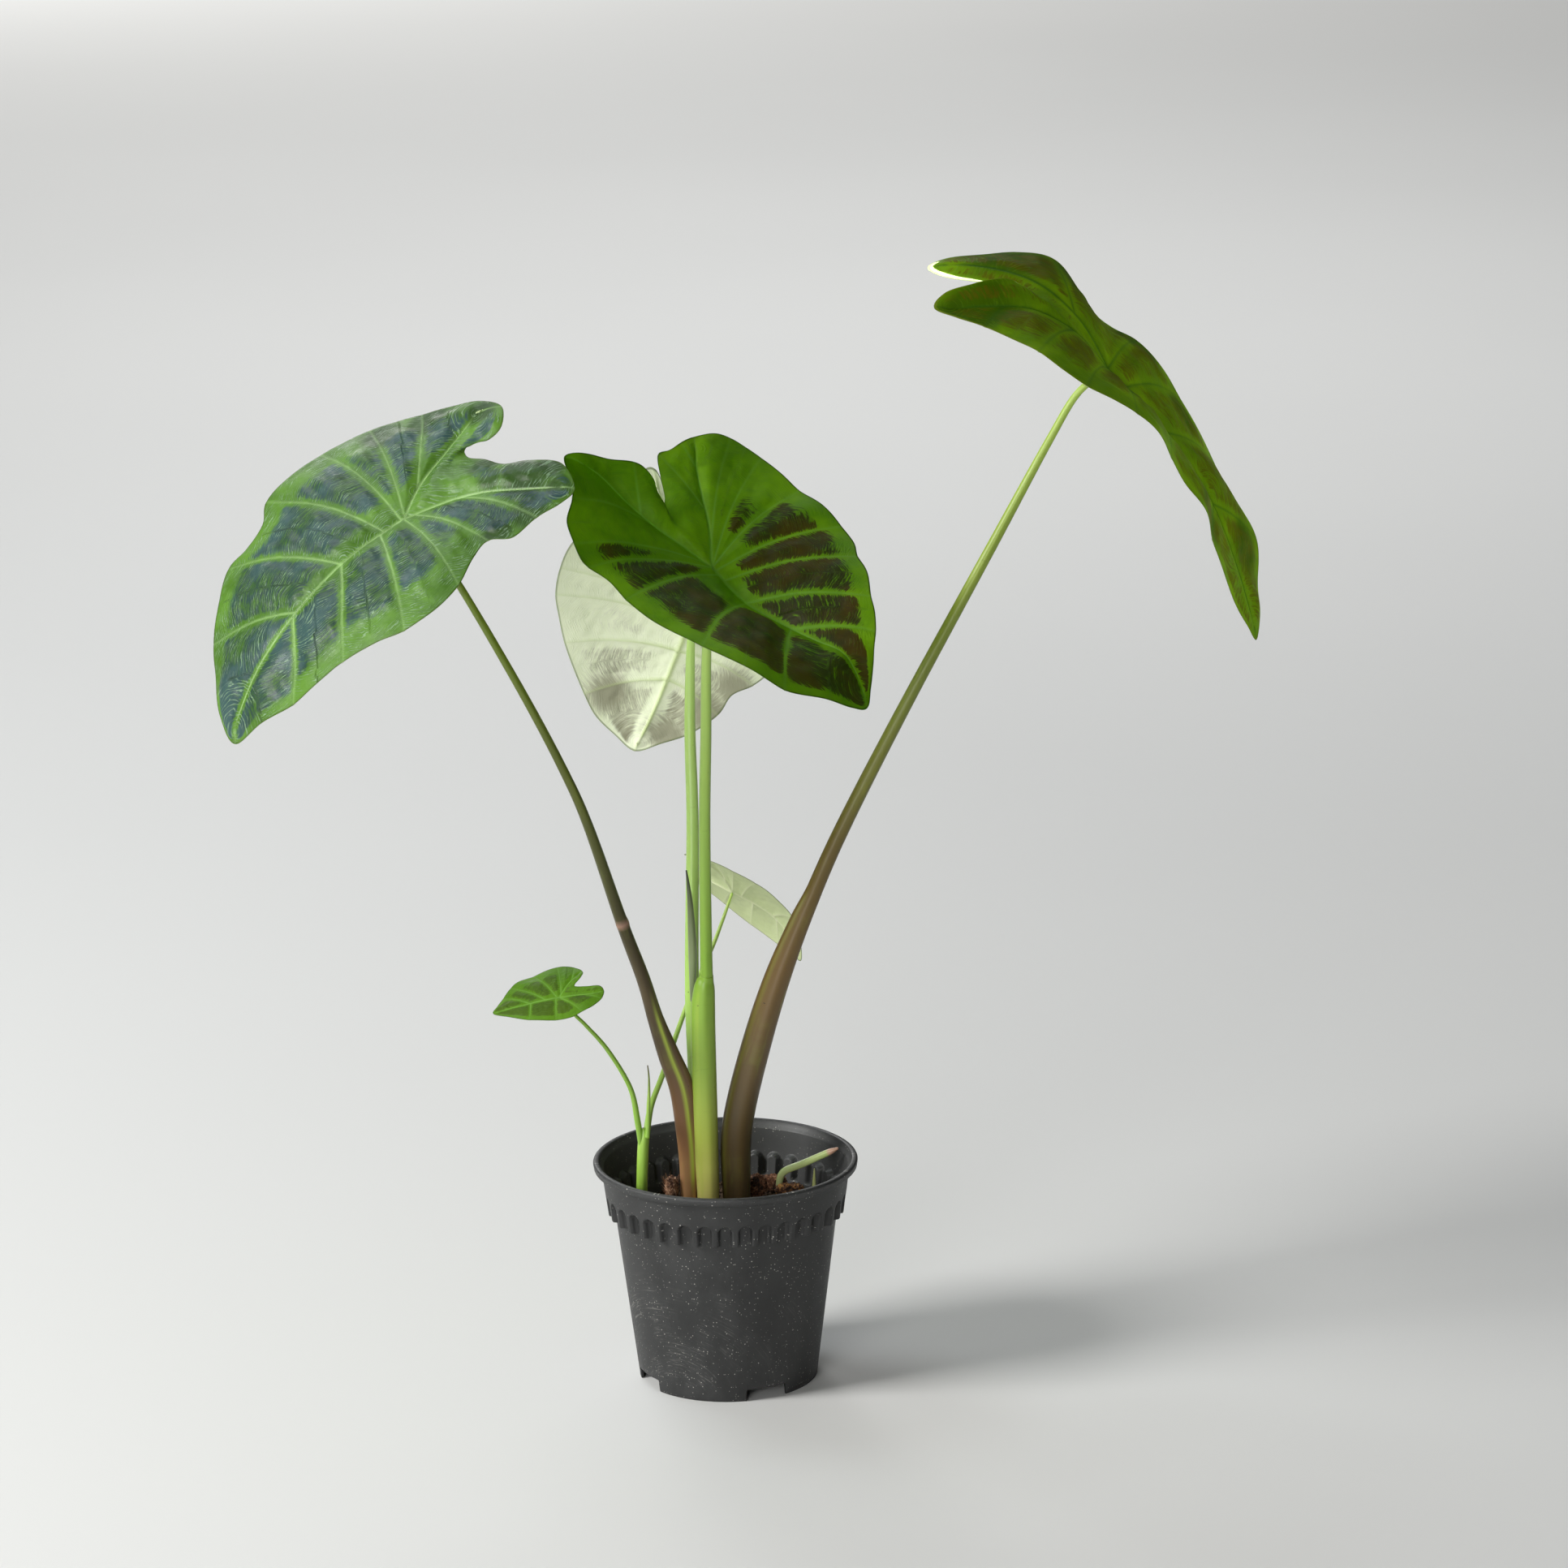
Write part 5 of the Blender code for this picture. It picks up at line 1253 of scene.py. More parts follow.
def crumb_tree(name, finish):
    """Geometry nodes that scatter crumbs over a surface and join them to it."""
    tree = bpy.data.node_groups.new(name, "GeometryNodeTree")
    tree.is_modifier = True
    tree.interface.new_socket("Geometry", in_out="INPUT", socket_type="NodeSocketGeometry")
    for label, kind in (("Crumbs per area", "NodeSocketFloat"), ("Smallest", "NodeSocketFloat"),
                        ("Largest", "NodeSocketFloat"), ("Seed", "NodeSocketInt")):
        tree.interface.new_socket(label, in_out="INPUT", socket_type=kind)
    tree.interface.new_socket("Geometry", in_out="OUTPUT", socket_type="NodeSocketGeometry")
    nodes, links = tree.nodes, tree.links
    given, result = nodes.new("NodeGroupInput"), nodes.new("NodeGroupOutput")
    scatter = nodes.new("GeometryNodeDistributePointsOnFaces")
    lump = nodes.new("GeometryNodeMeshIcoSphere")
    lump.inputs["Radius"].default_value = 1.0
    lump.inputs["Subdivisions"].default_value = 2
    roughen, unevenness = nodes.new("GeometryNodeSetPosition"), nodes.new("ShaderNodeTexNoise")
    unevenness.inputs["Scale"].default_value = 1.7
    centre = nodes.new("ShaderNodeVectorMath")
    centre.operation = "SUBTRACT"
    centre.inputs[1].default_value = (0.5, 0.5, 0.5)
    stretch = nodes.new("FunctionNodeRandomValue")
    stretch.data_type = "FLOAT_VECTOR"
    stretch.inputs[0].default_value = (0.6, 0.6, 0.45)
    stretch.inputs[1].default_value = (1.35, 1.1, 0.9)
    turn = nodes.new("FunctionNodeRandomValue")
    turn.data_type = "FLOAT_VECTOR"
    turn.inputs[1].default_value = (6.28, 6.28, 6.28)
    size, scale = nodes.new("FunctionNodeRandomValue"), nodes.new("ShaderNodeVectorMath")
    scale.operation = "SCALE"
    place, real = nodes.new("GeometryNodeInstanceOnPoints"), nodes.new("GeometryNodeRealizeInstances")
    join, cover = nodes.new("GeometryNodeJoinGeometry"), nodes.new("GeometryNodeSetMaterial")
    cover.inputs["Material"].default_value = finish
    for source, target in (
            (given.outputs["Geometry"], scatter.inputs["Mesh"]),
            (given.outputs["Crumbs per area"], scatter.inputs["Density"]),
            (given.outputs["Seed"], scatter.inputs["Seed"]),
            (lump.outputs["Mesh"], roughen.inputs["Geometry"]),
            (unevenness.outputs["Color"], centre.inputs[0]),
            (centre.outputs[0], roughen.inputs["Offset"]),
            (given.outputs["Smallest"], size.inputs[2]), (given.outputs["Largest"], size.inputs[3]),
            (stretch.outputs[0], scale.inputs[0]), (size.outputs[1], scale.inputs["Scale"]),
            (scatter.outputs["Points"], place.inputs["Points"]),
            (roughen.outputs["Geometry"], place.inputs["Instance"]),
            (turn.outputs[0], place.inputs["Rotation"]), (scale.outputs[0], place.inputs["Scale"]),
            (place.outputs["Instances"], real.inputs["Geometry"]),
            (given.outputs["Geometry"], join.inputs["Geometry"]),
            (real.outputs["Geometry"], join.inputs["Geometry"]),
            (join.outputs["Geometry"], cover.inputs["Geometry"]),
            (cover.outputs["Geometry"], result.inputs["Geometry"])):
        links.new(source, target)
    return tree


def grow(piece, tree, inputs):
    """Run a node tree on a piece and keep its result as the piece's plain mesh."""
    modifier = piece.modifiers.new("grow", "NODES")
    modifier.node_group = tree
    sockets = {item.name: item.identifier for item in tree.interface.items_tree if item.in_out == "INPUT"}
    for key, value in inputs.items():
        modifier[sockets[key]] = value
    bpy.context.view_layer.update()
    evaluated = piece.evaluated_get(bpy.context.evaluated_depsgraph_get())
    mesh = bpy.data.meshes.new_from_object(evaluated)
    piece.modifiers.remove(modifier)
    piece.data = mesh
    return piece


def build_soil(settings):
    """The soil's uneven top with its crumbs, closed below by a plain plug."""
    rings, sides = SOIL_RINGS, SOIL_SIDES
    points = disc_points(SOIL_PROFILE, rings, sides)
    points[:, 2] += sum(height * ripples(points, seed, length) for height, seed, length in SOIL_SWELLS)
    skirt = points[-sides:].copy()
    skirt[:, 2] = FLOOR_TOP + SOIL_GAP_BELOW
    floor_radius = BASE_RADIUS + LOWER_SLOPE * FLOOR_TOP - WALL
    skirt[:, :2] *= (floor_radius - SOIL_GAP_BESIDE) / SOIL_PROFILE[-1][0]
    middle = np.array([[*STALK_CENTRE, SOIL_PROFILE[0][1]], [0, 0, FLOOR_TOP + SOIL_GAP_BELOW]])
    faces = capped_faces(rings + 1, sides, flip=True)
    finish = earth_finish("potting_mix", settings.soil_dark, settings.soil_light)
    piece = make_piece("soil_with_crumbs", np.vstack([points, skirt, middle]), faces, [finish])
    tree = crumb_tree("scatter_crumbs", finish)
    grow(piece, tree, {"Crumbs per area": settings.crumbs, "Smallest": CRUMB_SIZES[0],
                       "Largest": CRUMB_SIZES[1], "Seed": CRUMB_SEED})
    trim_below(piece, FLOOR_TOP * MM)
    settle(piece, "potting_soil")


def trim_below(piece, height):
    """Keep a piece's crumbs inside the pot: nothing below its floor or outside its wall."""
    mesh = piece.data
    points = np.empty(len(mesh.vertices) * 3)
    mesh.vertices.foreach_get("co", points)
    points = points.reshape(-1, 3)
    local = points - POT_AXIS
    limit = (BASE_RADIUS + LOWER_SLOPE * np.maximum(local[:, 2], 0) / MM - WALL - CRUMB_GAP) * MM
    radius = np.linalg.norm(local[:, :2], axis=1)
    local[:, :2] *= np.minimum(1.0, limit / np.maximum(radius, 1e-9))[:, None]
    local[:, 2] = np.maximum(local[:, 2], height + CRUMB_GAP * MM)
    mesh.vertices.foreach_set("co", (local + POT_AXIS).ravel())
    mesh.update()


def build_crown(settings):
    """The rough root crown that the stalks stand on."""
    rings, sides = CROWN_RINGS, CROWN_SIDES
    turns = 2 * math.pi * np.arange(sides) / sides
    points = []
    for i in range(1, rings + 1):
        level = 0.5 * math.pi * i / rings
        radius = CROWN_RADIUS * math.sin(level) * (1 + 0.05 * np.sin(7 * turns) + 0.03 * np.sin(13 * turns))
        height = CROWN_TOP - CROWN_DROP * (1 - math.cos(level))
        points.append(np.column_stack([STALK_CENTRE[0] + radius * np.cos(turns) * CROWN_SQUEEZE,
                                       STALK_CENTRE[1] + radius * np.sin(turns) * CROWN_SQUEEZE,
                                       height + 0.8 * np.sin(5 * turns + i)]))
    points = np.vstack(points)
    points[:, 2] += 0.5 * ripples(points, 9, 5.0)
    middle = np.array([[*STALK_CENTRE, CROWN_TOP], [*STALK_CENTRE, CROWN_TOP - CROWN_DROP - 0.5]])
    faces = capped_faces(rings, sides, flip=True)
    finish = bark_finish("crown_skin", settings.bark_dark, settings.bark_red, settings.bark_light,
                         (0.3, 0.2, 0.0))
    settle(make_piece("rough_crown", np.vstack([points, middle]), faces, [finish]), "root_crown")


def squared(value):
    """A sine or cosine pushed outwards, so that a ball of them looks squarer."""
    return np.sign(value) * np.abs(value) ** SQUARENESS


def lump_points(centre, half_sizes, turn_degrees, seed, rings, sides):
    """A split, layered lump: a squared ball with ridges along its grain."""
    levels = math.pi * np.arange(1, rings) / rings
    turns = 2 * math.pi * np.arange(sides) / sides
    level, turn = np.meshgrid(levels, turns, indexing="ij")
    flat = np.stack([squared(np.sin(level) * np.cos(turn)), squared(np.sin(level) * np.sin(turn)),
                     -squared(np.cos(level))], axis=-1).reshape(-1, 3)
    ends = np.array([[0, 0, -1.0], [0, 0, 1.0]])
    flat = np.vstack([flat, ends])
    grain = ripples(flat[:, [0, 2]] @ np.diag(GRAIN_STRETCH), seed, GRAIN_LENGTH, 9)
    broad = ripples(flat[:, [0, 1]] + flat[:, [2, 0]], seed + 1, HOLLOW_LENGTH)
    rough = 1 - GRAIN_DEPTH * np.abs(grain) ** GRAIN_SHARPNESS - HOLLOW_DEPTH * np.abs(broad)
    uneven = flat * rough[:, None]
    sized = uneven / np.abs(uneven).max(0) * np.array(half_sizes)
    spin = np.array(Matrix.Rotation(math.radians(turn_degrees), 3, "Z"))
    return sized @ spin.T + np.array(centre)


def fibre(start, lean, length, radius, bend):
    """Points of a thin tapering fibre, ring by ring."""
    steps = np.linspace(0, 1, FIBRE_RINGS)
    path = start + lean * length * steps[:, None] + np.array([bend[0], bend[1], 0]) * steps[:, None] ** 2
    turns = 2 * math.pi * np.arange(FIBRE_SIDES) / FIBRE_SIDES
    rings = [point + radius * (1 - 0.9 * share) * np.column_stack(
        [np.cos(turns), np.sin(turns), 0 * turns]) for point, share in zip(path, steps)]
    return np.vstack(rings)


def build_husk(settings):
    """The dry husk: a papery lump with loose fibres standing off it."""
    centre, half_sizes, turn = CHUNKS["dry_husk"]
    points = [lump_points(centre, half_sizes, turn, HUSK_SEED, HUSK_RINGS, HUSK_SIDES)]
    faces = capped_faces(HUSK_RINGS - 1, HUSK_SIDES)
    rng = np.random.default_rng(FIBRE_SEED)
    count = len(points[0])
    for _ in range(FIBRE_COUNT):
        turned = rng.uniform(0, 2 * math.pi)
        start = np.array(centre) + np.array([half_sizes[0] * math.cos(turned) * 0.85,
                                             half_sizes[1] * math.sin(turned) * 0.85,
                                             rng.uniform(*FIBRE_HEIGHTS)])
        lean = np.array([math.cos(turned) * 0.35, math.sin(turned) * 0.35, rng.uniform(0.2, 1.0)])
        length = rng.uniform(*FIBRE_LENGTHS)
        strand = fibre(start, lean, length, FIBRE_RADIUS, rng.uniform(-FIBRE_BEND, FIBRE_BEND, 2))
        points.append(strand)
        faces += [tuple(i + count for i in face) for face in tube_faces(FIBRE_RINGS, FIBRE_SIDES)]
        count += len(strand)
    finish = bark_finish("husk_skin", settings.husk_dark, settings.husk, settings.husk_light,
                         (0.0, 1.2, 0.0))
    settle(make_piece("fibrous_husk", np.vstack(points), faces, [finish]), "dry_husk")


def build_bark(settings):
    """The three pieces of bark on the soil."""
    faces = capped_faces(BARK_RINGS - 1, BARK_SIDES)
    for k, node in enumerate(("bark_tall", "bark_rear", "bark_front")):
        centre, half_sizes, turn = CHUNKS[node]
        light = settings.bark_orange if node == "bark_front" else settings.bark_light
        finish = bark_finish(node + "_skin", settings.bark_dark, settings.bark_red, light,
                             (0.2 * k, 0.4, 0.5 * k))
        points = lump_points(centre, half_sizes, turn, BARK_SEED + 3 * k, BARK_RINGS, BARK_SIDES)
        settle(make_piece("chip_" + node, points, faces, [finish]), node)


# ================================================================ stage

def build_stage(settings):
    """The pale floor, the soft lights and the camera."""
    half = FLOOR_HALF
    mesh = bpy.data.meshes.new("pale_floor")
    mesh.from_pydata([(-half, -half, 0), (half, -half, 0), (half, half, 0), (-half, half, 0)], [],
                     [(0, 1, 2, 3)])
    finish = Finish("pale_floor")
    clouds = finish.noise(finish.place(), 0.8, 2.0)
    clouded = tuple(part * FLOOR_CLOUDS for part in settings.floor)
    shade = finish.mix(finish.spread(clouds, 0.3, 0.7), settings.floor, clouded)
    mesh.materials.append(finish.finish(shade, 0.85, None, 0.1))
    floor = bpy.data.objects.new("pale_floor", mesh)
    bpy.context.scene.collection.objects.link(floor)
    floor.location.z = -FLOOR_DROP
    for name, light in LIGHTS.items():
        lamp = bpy.data.lights.new(name, "AREA")
        lamp.shape = "SQUARE"
        lamp.size = light["size"]
        lamp.energy = light["watts"] * settings.light
        lamp.color = light["colour"]
        holder = bpy.data.objects.new(name, lamp)
        holder.location = Vector(light["place"]) + Vector(POT_AXIS)
        facing = Vector(light["place"]) - Vector(light["aim"])
        holder.rotation_euler = facing.to_track_quat("Z", "Y").to_euler()
        bpy.context.scene.collection.objects.link(holder)
    world = bpy.data.worlds.new("soft_room")
    world.use_nodes = True
    world.node_tree.nodes["Background"].inputs["Color"].default_value = (*settings.room, 1.0)
    world.node_tree.nodes["Background"].inputs["Strength"].default_value = settings.room_light
    bpy.context.scene.world = world
    bpy.context.scene.view_settings.view_transform = "Standard"
    camera = bpy.data.cameras.new("camera")
    camera.lens = CAMERA_LENS
    camera.clip_end = CAMERA_REACH
    holder = bpy.data.objects.new("camera", camera)
    holder.location = Vector(np.array(CAMERA_PLACE) * MM + POT_AXIS)
    roll = Matrix.Rotation(math.radians(CAMERA_ROLL), 4, "Z")
    pitch = Euler((math.radians(CAMERA_PITCH), 0, 0)).to_matrix().to_4x4()
    holder.rotation_euler = (pitch @ roll).to_euler()
    bpy.context.scene.collection.objects.link(holder)
    bpy.context.scene.camera = holder


# ================================================================ settings

def shade_property(name, description, default):
    """A colour in the panel."""
    return bpy.props.FloatVectorProperty(name=name, description=description, subtype="COLOR", size=3,
                                         min=0.0, max=1.0, default=default)


def share_property(name, description, default, high=1.0):
    """A number from 0 up in the panel."""
    return bpy.props.FloatProperty(name=name, description=description, min=0.0, max=high, default=default)


# What a leaf's palette holds: its name in the panel, what it is, and the defaults of each leaf.
PALETTE_SHADES = {
    "green": ("Green", "Ground colour of the upper face"),
    "light_green": ("Light green", "Streaks and clouds on the upper face"),
    "blotch": ("Blotch", "Dark fields between the ribs"),
    "blotch_tint": ("Blotch tint", "Second colour of the dark fields"),
    "vein": ("Vein", "Ribs on the upper face"),
    "veinlet": ("Veinlet", "Fine lines between the ribs"),
    "edge": ("Edge", "Thin line along the margin"),
    "glow": ("Glow", "Light that comes through the blade"),
    "under": ("Underside", "Ground colour of the underside"),
    "under_light": ("Light underside", "Streaks on the underside"),
    "under_tint": ("Underside tint", "Soft fields on the underside"),
    "under_vein": ("Underside vein", "Raised ribs on the underside"),
}
PALETTE_SHARES = {
    "softness": ("Blotch softness", "How softly a blotch ends"),
    "depth": ("Blotch depth", "How strongly a blotch covers the green"),
    "ragged": ("Blotch raggedness", "How far a blotch's edge is torn into fingers"),
    "veinlets": ("Veinlet strength", "How clearly the fine lines show"),
    "vein_strength": ("Vein strength", "How clearly the ribs show"),
    "roughness": ("Roughness", "Dullness of the upper face"),
    "gloss": ("Gloss", "How much the upper face mirrors"),
    "thinness": ("Thinness", "Share of light that comes through"),
    "under_tint_strength": ("Tint strength", "How strongly the underside is tinted"),
}
PALETTES = {
    "left": {
        "green": (0.052, 0.135, 0.01), "light_green": (0.105, 0.235, 0.026),
        "blotch": (0.014, 0.036, 0.04), "blotch_tint": (0.036, 0.078, 0.088), "vein": (0.34, 0.54, 0.2),
        "veinlet": (0.26, 0.4, 0.24), "edge": (0.06, 0.12, 0.01), "glow": (0.26, 0.5, 0.02),
        "under": (0.3, 0.44, 0.16), "under_light": (0.42, 0.56, 0.24), "under_tint": (0.22, 0.26, 0.16),
        "under_vein": (0.56, 0.68, 0.34), "softness": 0.64, "depth": 0.94, "ragged": 2.2,
        "veinlets": 0.6, "vein_strength": 0.8, "roughness": 0.42, "gloss": 0.3, "thinness": 0.1,
        "under_tint_strength": 0.4},
    "front": {
        "green": (0.072, 0.145, 0.003), "light_green": (0.125, 0.215, 0.004),
        "blotch": (0.02, 0.013, 0.005), "blotch_tint": (0.046, 0.02, 0.004), "vein": (0.14, 0.245, 0.05),
        "veinlet": (0.085, 0.15, 0.006), "edge": (0.02, 0.04, 0.003), "glow": (0.34, 0.7, 0.004),
        "under": (0.34, 0.48, 0.18), "under_light": (0.46, 0.6, 0.26), "under_tint": (0.24, 0.24, 0.18),
        "under_vein": (0.56, 0.7, 0.32), "softness": 0.2, "depth": 1, "ragged": 3.4, "veinlets": 0.26,
        "vein_strength": 0.8, "roughness": 0.48, "gloss": 0.14, "thinness": 0.4,
        "under_tint_strength": 0.5},
    "back": {
        "green": (0.05, 0.13, 0.012), "light_green": (0.085, 0.19, 0.025),
        "blotch": (0.025, 0.032, 0.02), "blotch_tint": (0.035, 0.04, 0.032), "vein": (0.16, 0.32, 0.07),
        "veinlet": (0.1, 0.19, 0.06), "edge": (0.1, 0.15, 0.04), "glow": (0.86, 1, 0.58),
        # Painted light: the underside colours are raised to nearly white, partly the underside's own pale
        # colour and partly the light that comes through it from the lamps behind.
        "under": (0.9, 0.96, 0.7), "under_light": (0.95, 0.99, 0.8), "under_tint": (0.29, 0.28, 0.19),
        "under_vein": (0.6, 0.72, 0.32), "softness": 0.25, "depth": 0.95, "ragged": 2, "veinlets": 0.2,
        "vein_strength": 0.8, "roughness": 0.45, "gloss": 0.3, "thinness": 0.14,
        "under_tint_strength": 0.95},
    "right": {
        "green": (0.075, 0.135, 0.005), "light_green": (0.14, 0.215, 0.006),
        "blotch": (0.062, 0.048, 0.005), "blotch_tint": (0.078, 0.054, 0.004),
        "vein": (0.014, 0.05, 0.008), "veinlet": (0.11, 0.2, 0.008), "edge": (0.16, 0.18, 0.02),
        "glow": (0.36, 0.54, 0.006), "under": (0.72, 0.8, 0.54), "under_light": (0.88, 0.94, 0.72),
        "under_tint": (0.4, 0.44, 0.26), "under_vein": (0.8, 0.9, 0.56), "softness": 0.6, "depth": 0.85,
        "ragged": 3.6, "veinlets": 0.35, "vein_strength": 0.8, "roughness": 0.42, "gloss": 0.14,
        "thinness": 0.5, "under_tint_strength": 0.3},
    "small_left": {
        "green": (0.068, 0.165, 0.006), "light_green": (0.1, 0.225, 0.01),
        "blotch": (0.048, 0.092, 0.006), "blotch_tint": (0.06, 0.105, 0.008), "vein": (0.2, 0.4, 0.07),
        "veinlet": (0.13, 0.27, 0.03), "edge": (0.05, 0.1, 0.01), "glow": (0.28, 0.56, 0.02),
        "under": (0.34, 0.5, 0.18), "under_light": (0.44, 0.6, 0.26), "under_tint": (0.26, 0.34, 0.16),
        "under_vein": (0.52, 0.68, 0.3), "softness": 0.4, "depth": 0.9, "ragged": 2.4, "veinlets": 0.25,
        "vein_strength": 0.7, "roughness": 0.5, "gloss": 0.1, "thinness": 0.14,
        "under_tint_strength": 0.3},
    "small_back": {
        "green": (0.06, 0.15, 0.016), "light_green": (0.095, 0.21, 0.028),
        "blotch": (0.045, 0.07, 0.016), "blotch_tint": (0.055, 0.085, 0.022), "vein": (0.2, 0.38, 0.09),
        "veinlet": (0.12, 0.24, 0.06), "edge": (0.05, 0.08, 0.02), "glow": (0.8, 0.96, 0.42),
        # Painted light: the underside colours are raised to nearly white, partly the underside's own pale
        # colour and partly the light that comes through it from the lamps behind.
        "under": (0.66, 0.75, 0.4), "under_light": (0.8, 0.88, 0.52), "under_tint": (0.42, 0.5, 0.28),
        "under_vein": (0.96, 1, 0.7), "softness": 0.3, "depth": 0.9, "ragged": 2, "veinlets": 0.2,
        "vein_strength": 0.7, "roughness": 0.5, "gloss": 0.3, "thinness": 0.15,
        "under_tint_strength": 0.6},
}


def palette_group(key):
    """A settings group for one leaf's palette."""
    fields = {name: shade_property(*words, PALETTES[key][name]) for name, words in PALETTE_SHADES.items()}
    fields.update({name: share_property(*words, PALETTES[key][name], 5.0)
                   for name, words in PALETTE_SHARES.items()})
    title = "".join(word.capitalize() for word in key.split("_"))
    return type("ElephantEar" + title + "Palette", (bpy.types.PropertyGroup,), {"__annotations__": fields})


PALETTE_GROUPS = {key: palette_group(key) for key in PALETTES}


class ElephantEarLeaves(bpy.types.PropertyGroup):
    """One palette for each leaf."""
    __annotations__ = {key: bpy.props.PointerProperty(
        type=group, name=key, description="Colours of this leaf") for key, group in PALETTE_GROUPS.items()}


class ElephantEarPot(bpy.types.PropertyGroup):
    """The pot's sizes and colours."""
    flutes: bpy.props.IntProperty(name="Flutes", description="Number of flutes round the belt",
                                  default=37, min=8, max=80)
    plastic: shade_property("Plastic", "Charcoal plastic", (0.019, 0.0195, 0.0195))
    # Also painted light: the inside wall takes this lighter plastic.
    worn_and_lit_plastic: shade_property("Worn plastic", "Scuffed and dusty plastic", (0.062, 0.063, 0.063))
    dust: shade_property("Dust", "Specks and smears of dust", (0.34, 0.33, 0.30))


class ElephantEarGround(bpy.types.PropertyGroup):
    """Soil, bark and husk."""
    crumbs: bpy.props.FloatProperty(name="Crumbs", description="Crumbs on each square metre of soil",
                                    default=70000.0, min=0.0)
    soil_dark: shade_property("Dark soil", "Damp soil", (0.026, 0.017, 0.011))
    soil_light: shade_property("Light soil", "Dry soil", (0.15, 0.095, 0.058))
    bark_dark: shade_property("Dark bark", "Cracks in the bark", (0.030, 0.014, 0.008))
    bark_red: shade_property("Red bark", "Body of the bark", (0.22, 0.090, 0.042))
    bark_light: shade_property("Light bark", "Worn ridges of the bark", (0.44, 0.23, 0.13))
    bark_orange: shade_property("Orange bark", "Broken face of the front bark piece", (0.80, 0.40, 0.10))
    husk_dark: shade_property("Dark husk", "Shade between the fibres", (0.06, 0.024, 0.014))
    husk: shade_property("Husk", "Body of the husk", (0.36, 0.18, 0.10))
    husk_light: shade_property("Light husk", "Dry fibres", (0.62, 0.40, 0.26))


class ElephantEarStalks(bpy.types.PropertyGroup):
    """Colours that all stalks share."""
    margin: shade_property("Sheath margin", "Bright line along a sheath's edge", (0.40, 0.50, 0.06))
    speck: shade_property("Specks", "Small dark marks", (0.030, 0.016, 0.010))
    scar: shade_property("Scar", "Dry ring round the left stalk", (0.42, 0.24, 0.18))


class ElephantEarStage(bpy.types.PropertyGroup):
    """Floor and light."""
    floor: shade_property("Floor", "Pale floor", (0.80, 0.80, 0.785))
    room: shade_property("Room", "Light from all round", (1.0, 1.0, 0.995))
    room_light: share_property("Room light", "Strength of the light from all round", 0.05, 5.0)
    light: share_property("Light", "Strength of the lamps", 1.0, 5.0)


class ElephantEarSettings(bpy.types.PropertyGroup):
    """All settings of the plant."""
    pot: bpy.props.PointerProperty(type=ElephantEarPot, name="Pot", description="The pot")
    ground: bpy.props.PointerProperty(type=ElephantEarGround, name="Ground", description="Soil and bark")
    stalks: bpy.props.PointerProperty(type=ElephantEarStalks, name="Stalks", description="The stalks")
    leaves: bpy.props.PointerProperty(type=ElephantEarLeaves, name="Leaves", description="The leaves")
    stage: bpy.props.PointerProperty(type=ElephantEarStage, name="Stage", description="Floor and light")


# ================================================================ operators and panel

class ELEPHANTEAR_OT_stage(bpy.types.Operator):
    """Build the floor, the lights and the camera"""
    bl_idname = "elephant_ear.stage"
    bl_label = "Stage"

    def execute(self, context):
        build_stage(context.scene.elephant_ear.stage)
        return {"FINISHED"}


class ELEPHANTEAR_OT_pot(bpy.types.Operator):
    """Build the fluted pot"""
    bl_idname = "elephant_ear.pot"
    bl_label = "Pot"

    def execute(self, context):
        build_pot(context.scene.elephant_ear.pot)
        return {"FINISHED"}


class ELEPHANTEAR_OT_ground(bpy.types.Operator):
    """Build the soil and the root crown"""
    bl_idname = "elephant_ear.ground"
    bl_label = "Soil and crown"

    def execute(self, context):
        build_soil(context.scene.elephant_ear.ground)
        build_crown(context.scene.elephant_ear.ground)
        return {"FINISHED"}


class ELEPHANTEAR_OT_bark(bpy.types.Operator):
    """Build the bark pieces and the dry husk"""
    bl_idname = "elephant_ear.bark"
    bl_label = "Bark and husk"

    def execute(self, context):
        build_bark(context.scene.elephant_ear.ground)
        build_husk(context.scene.elephant_ear.ground)
        return {"FINISHED"}


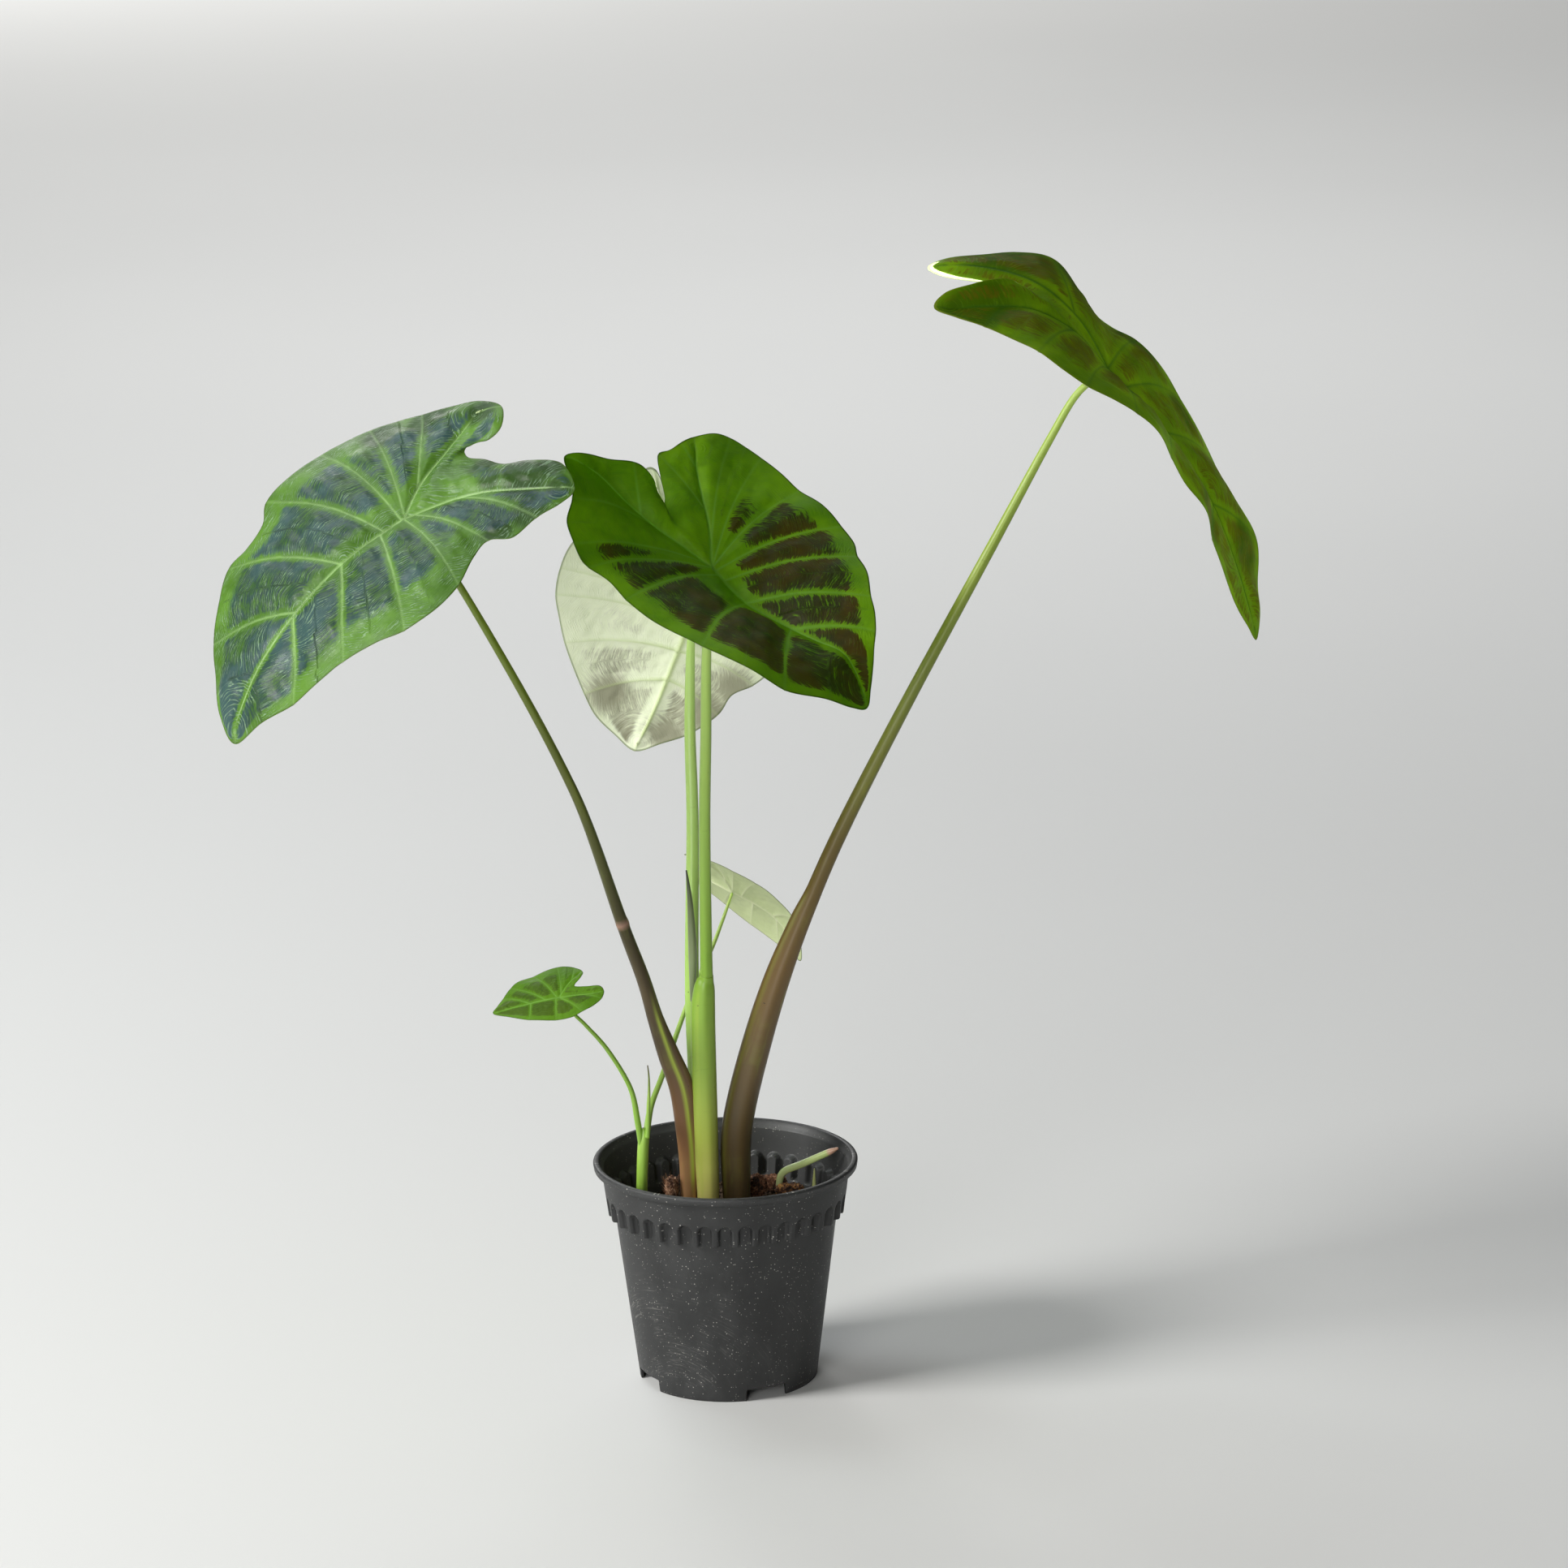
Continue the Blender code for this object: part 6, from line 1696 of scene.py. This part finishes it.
class ELEPHANTEAR_OT_stalks(bpy.types.Operator):
    """Build the stalks, the rolled leaf, the runner and the shoot"""
    bl_idname = "elephant_ear.stalks"
    bl_label = "Stalks"

    def execute(self, context):
        for node in STALKS:
            build_stalk(node, context.scene.elephant_ear.stalks)
        return {"FINISHED"}


class ELEPHANTEAR_OT_leaves(bpy.types.Operator):
    """Build the six blades"""
    bl_idname = "elephant_ear.leaves"
    bl_label = "Leaves"

    def execute(self, context):
        for key in LEAVES:
            build_blade(key, context.scene.elephant_ear.leaves)
        return {"FINISHED"}


OPERATORS = (ELEPHANTEAR_OT_stage, ELEPHANTEAR_OT_pot, ELEPHANTEAR_OT_ground, ELEPHANTEAR_OT_bark,
             ELEPHANTEAR_OT_stalks, ELEPHANTEAR_OT_leaves)


class ELEPHANTEAR_PT_panel(bpy.types.Panel):
    """Buttons for each group of pieces"""
    bl_label = "Potted Elephant Ear"
    bl_idname = "ELEPHANTEAR_PT_panel"
    bl_space_type = "VIEW_3D"
    bl_region_type = "UI"
    bl_category = "Plant"

    def draw(self, context):
        for operator in OPERATORS:
            self.layout.operator(operator.bl_idname)


CLASSES = (*PALETTE_GROUPS.values(), ElephantEarLeaves, ElephantEarPot, ElephantEarGround,
           ElephantEarStalks, ElephantEarStage, ElephantEarSettings, *OPERATORS, ELEPHANTEAR_PT_panel)


def register():
    for each in CLASSES:
        bpy.utils.register_class(each)
    bpy.types.Scene.elephant_ear = bpy.props.PointerProperty(
        type=ElephantEarSettings, name="Elephant ear", description="Settings of the potted elephant ear")


def unregister():
    del bpy.types.Scene.elephant_ear
    for each in reversed(CLASSES):
        bpy.utils.unregister_class(each)


def write_sizes():
    """Bring the view layer up to date; nothing is written."""
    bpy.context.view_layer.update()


def main():
    """Register the add-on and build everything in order."""
    register()
    bpy.ops.elephant_ear.stage()
    bpy.ops.elephant_ear.pot()
    bpy.ops.elephant_ear.ground()
    bpy.ops.elephant_ear.bark()
    bpy.ops.elephant_ear.stalks()
    bpy.ops.elephant_ear.leaves()
    write_sizes()


if __name__ == "__main__":
    main()
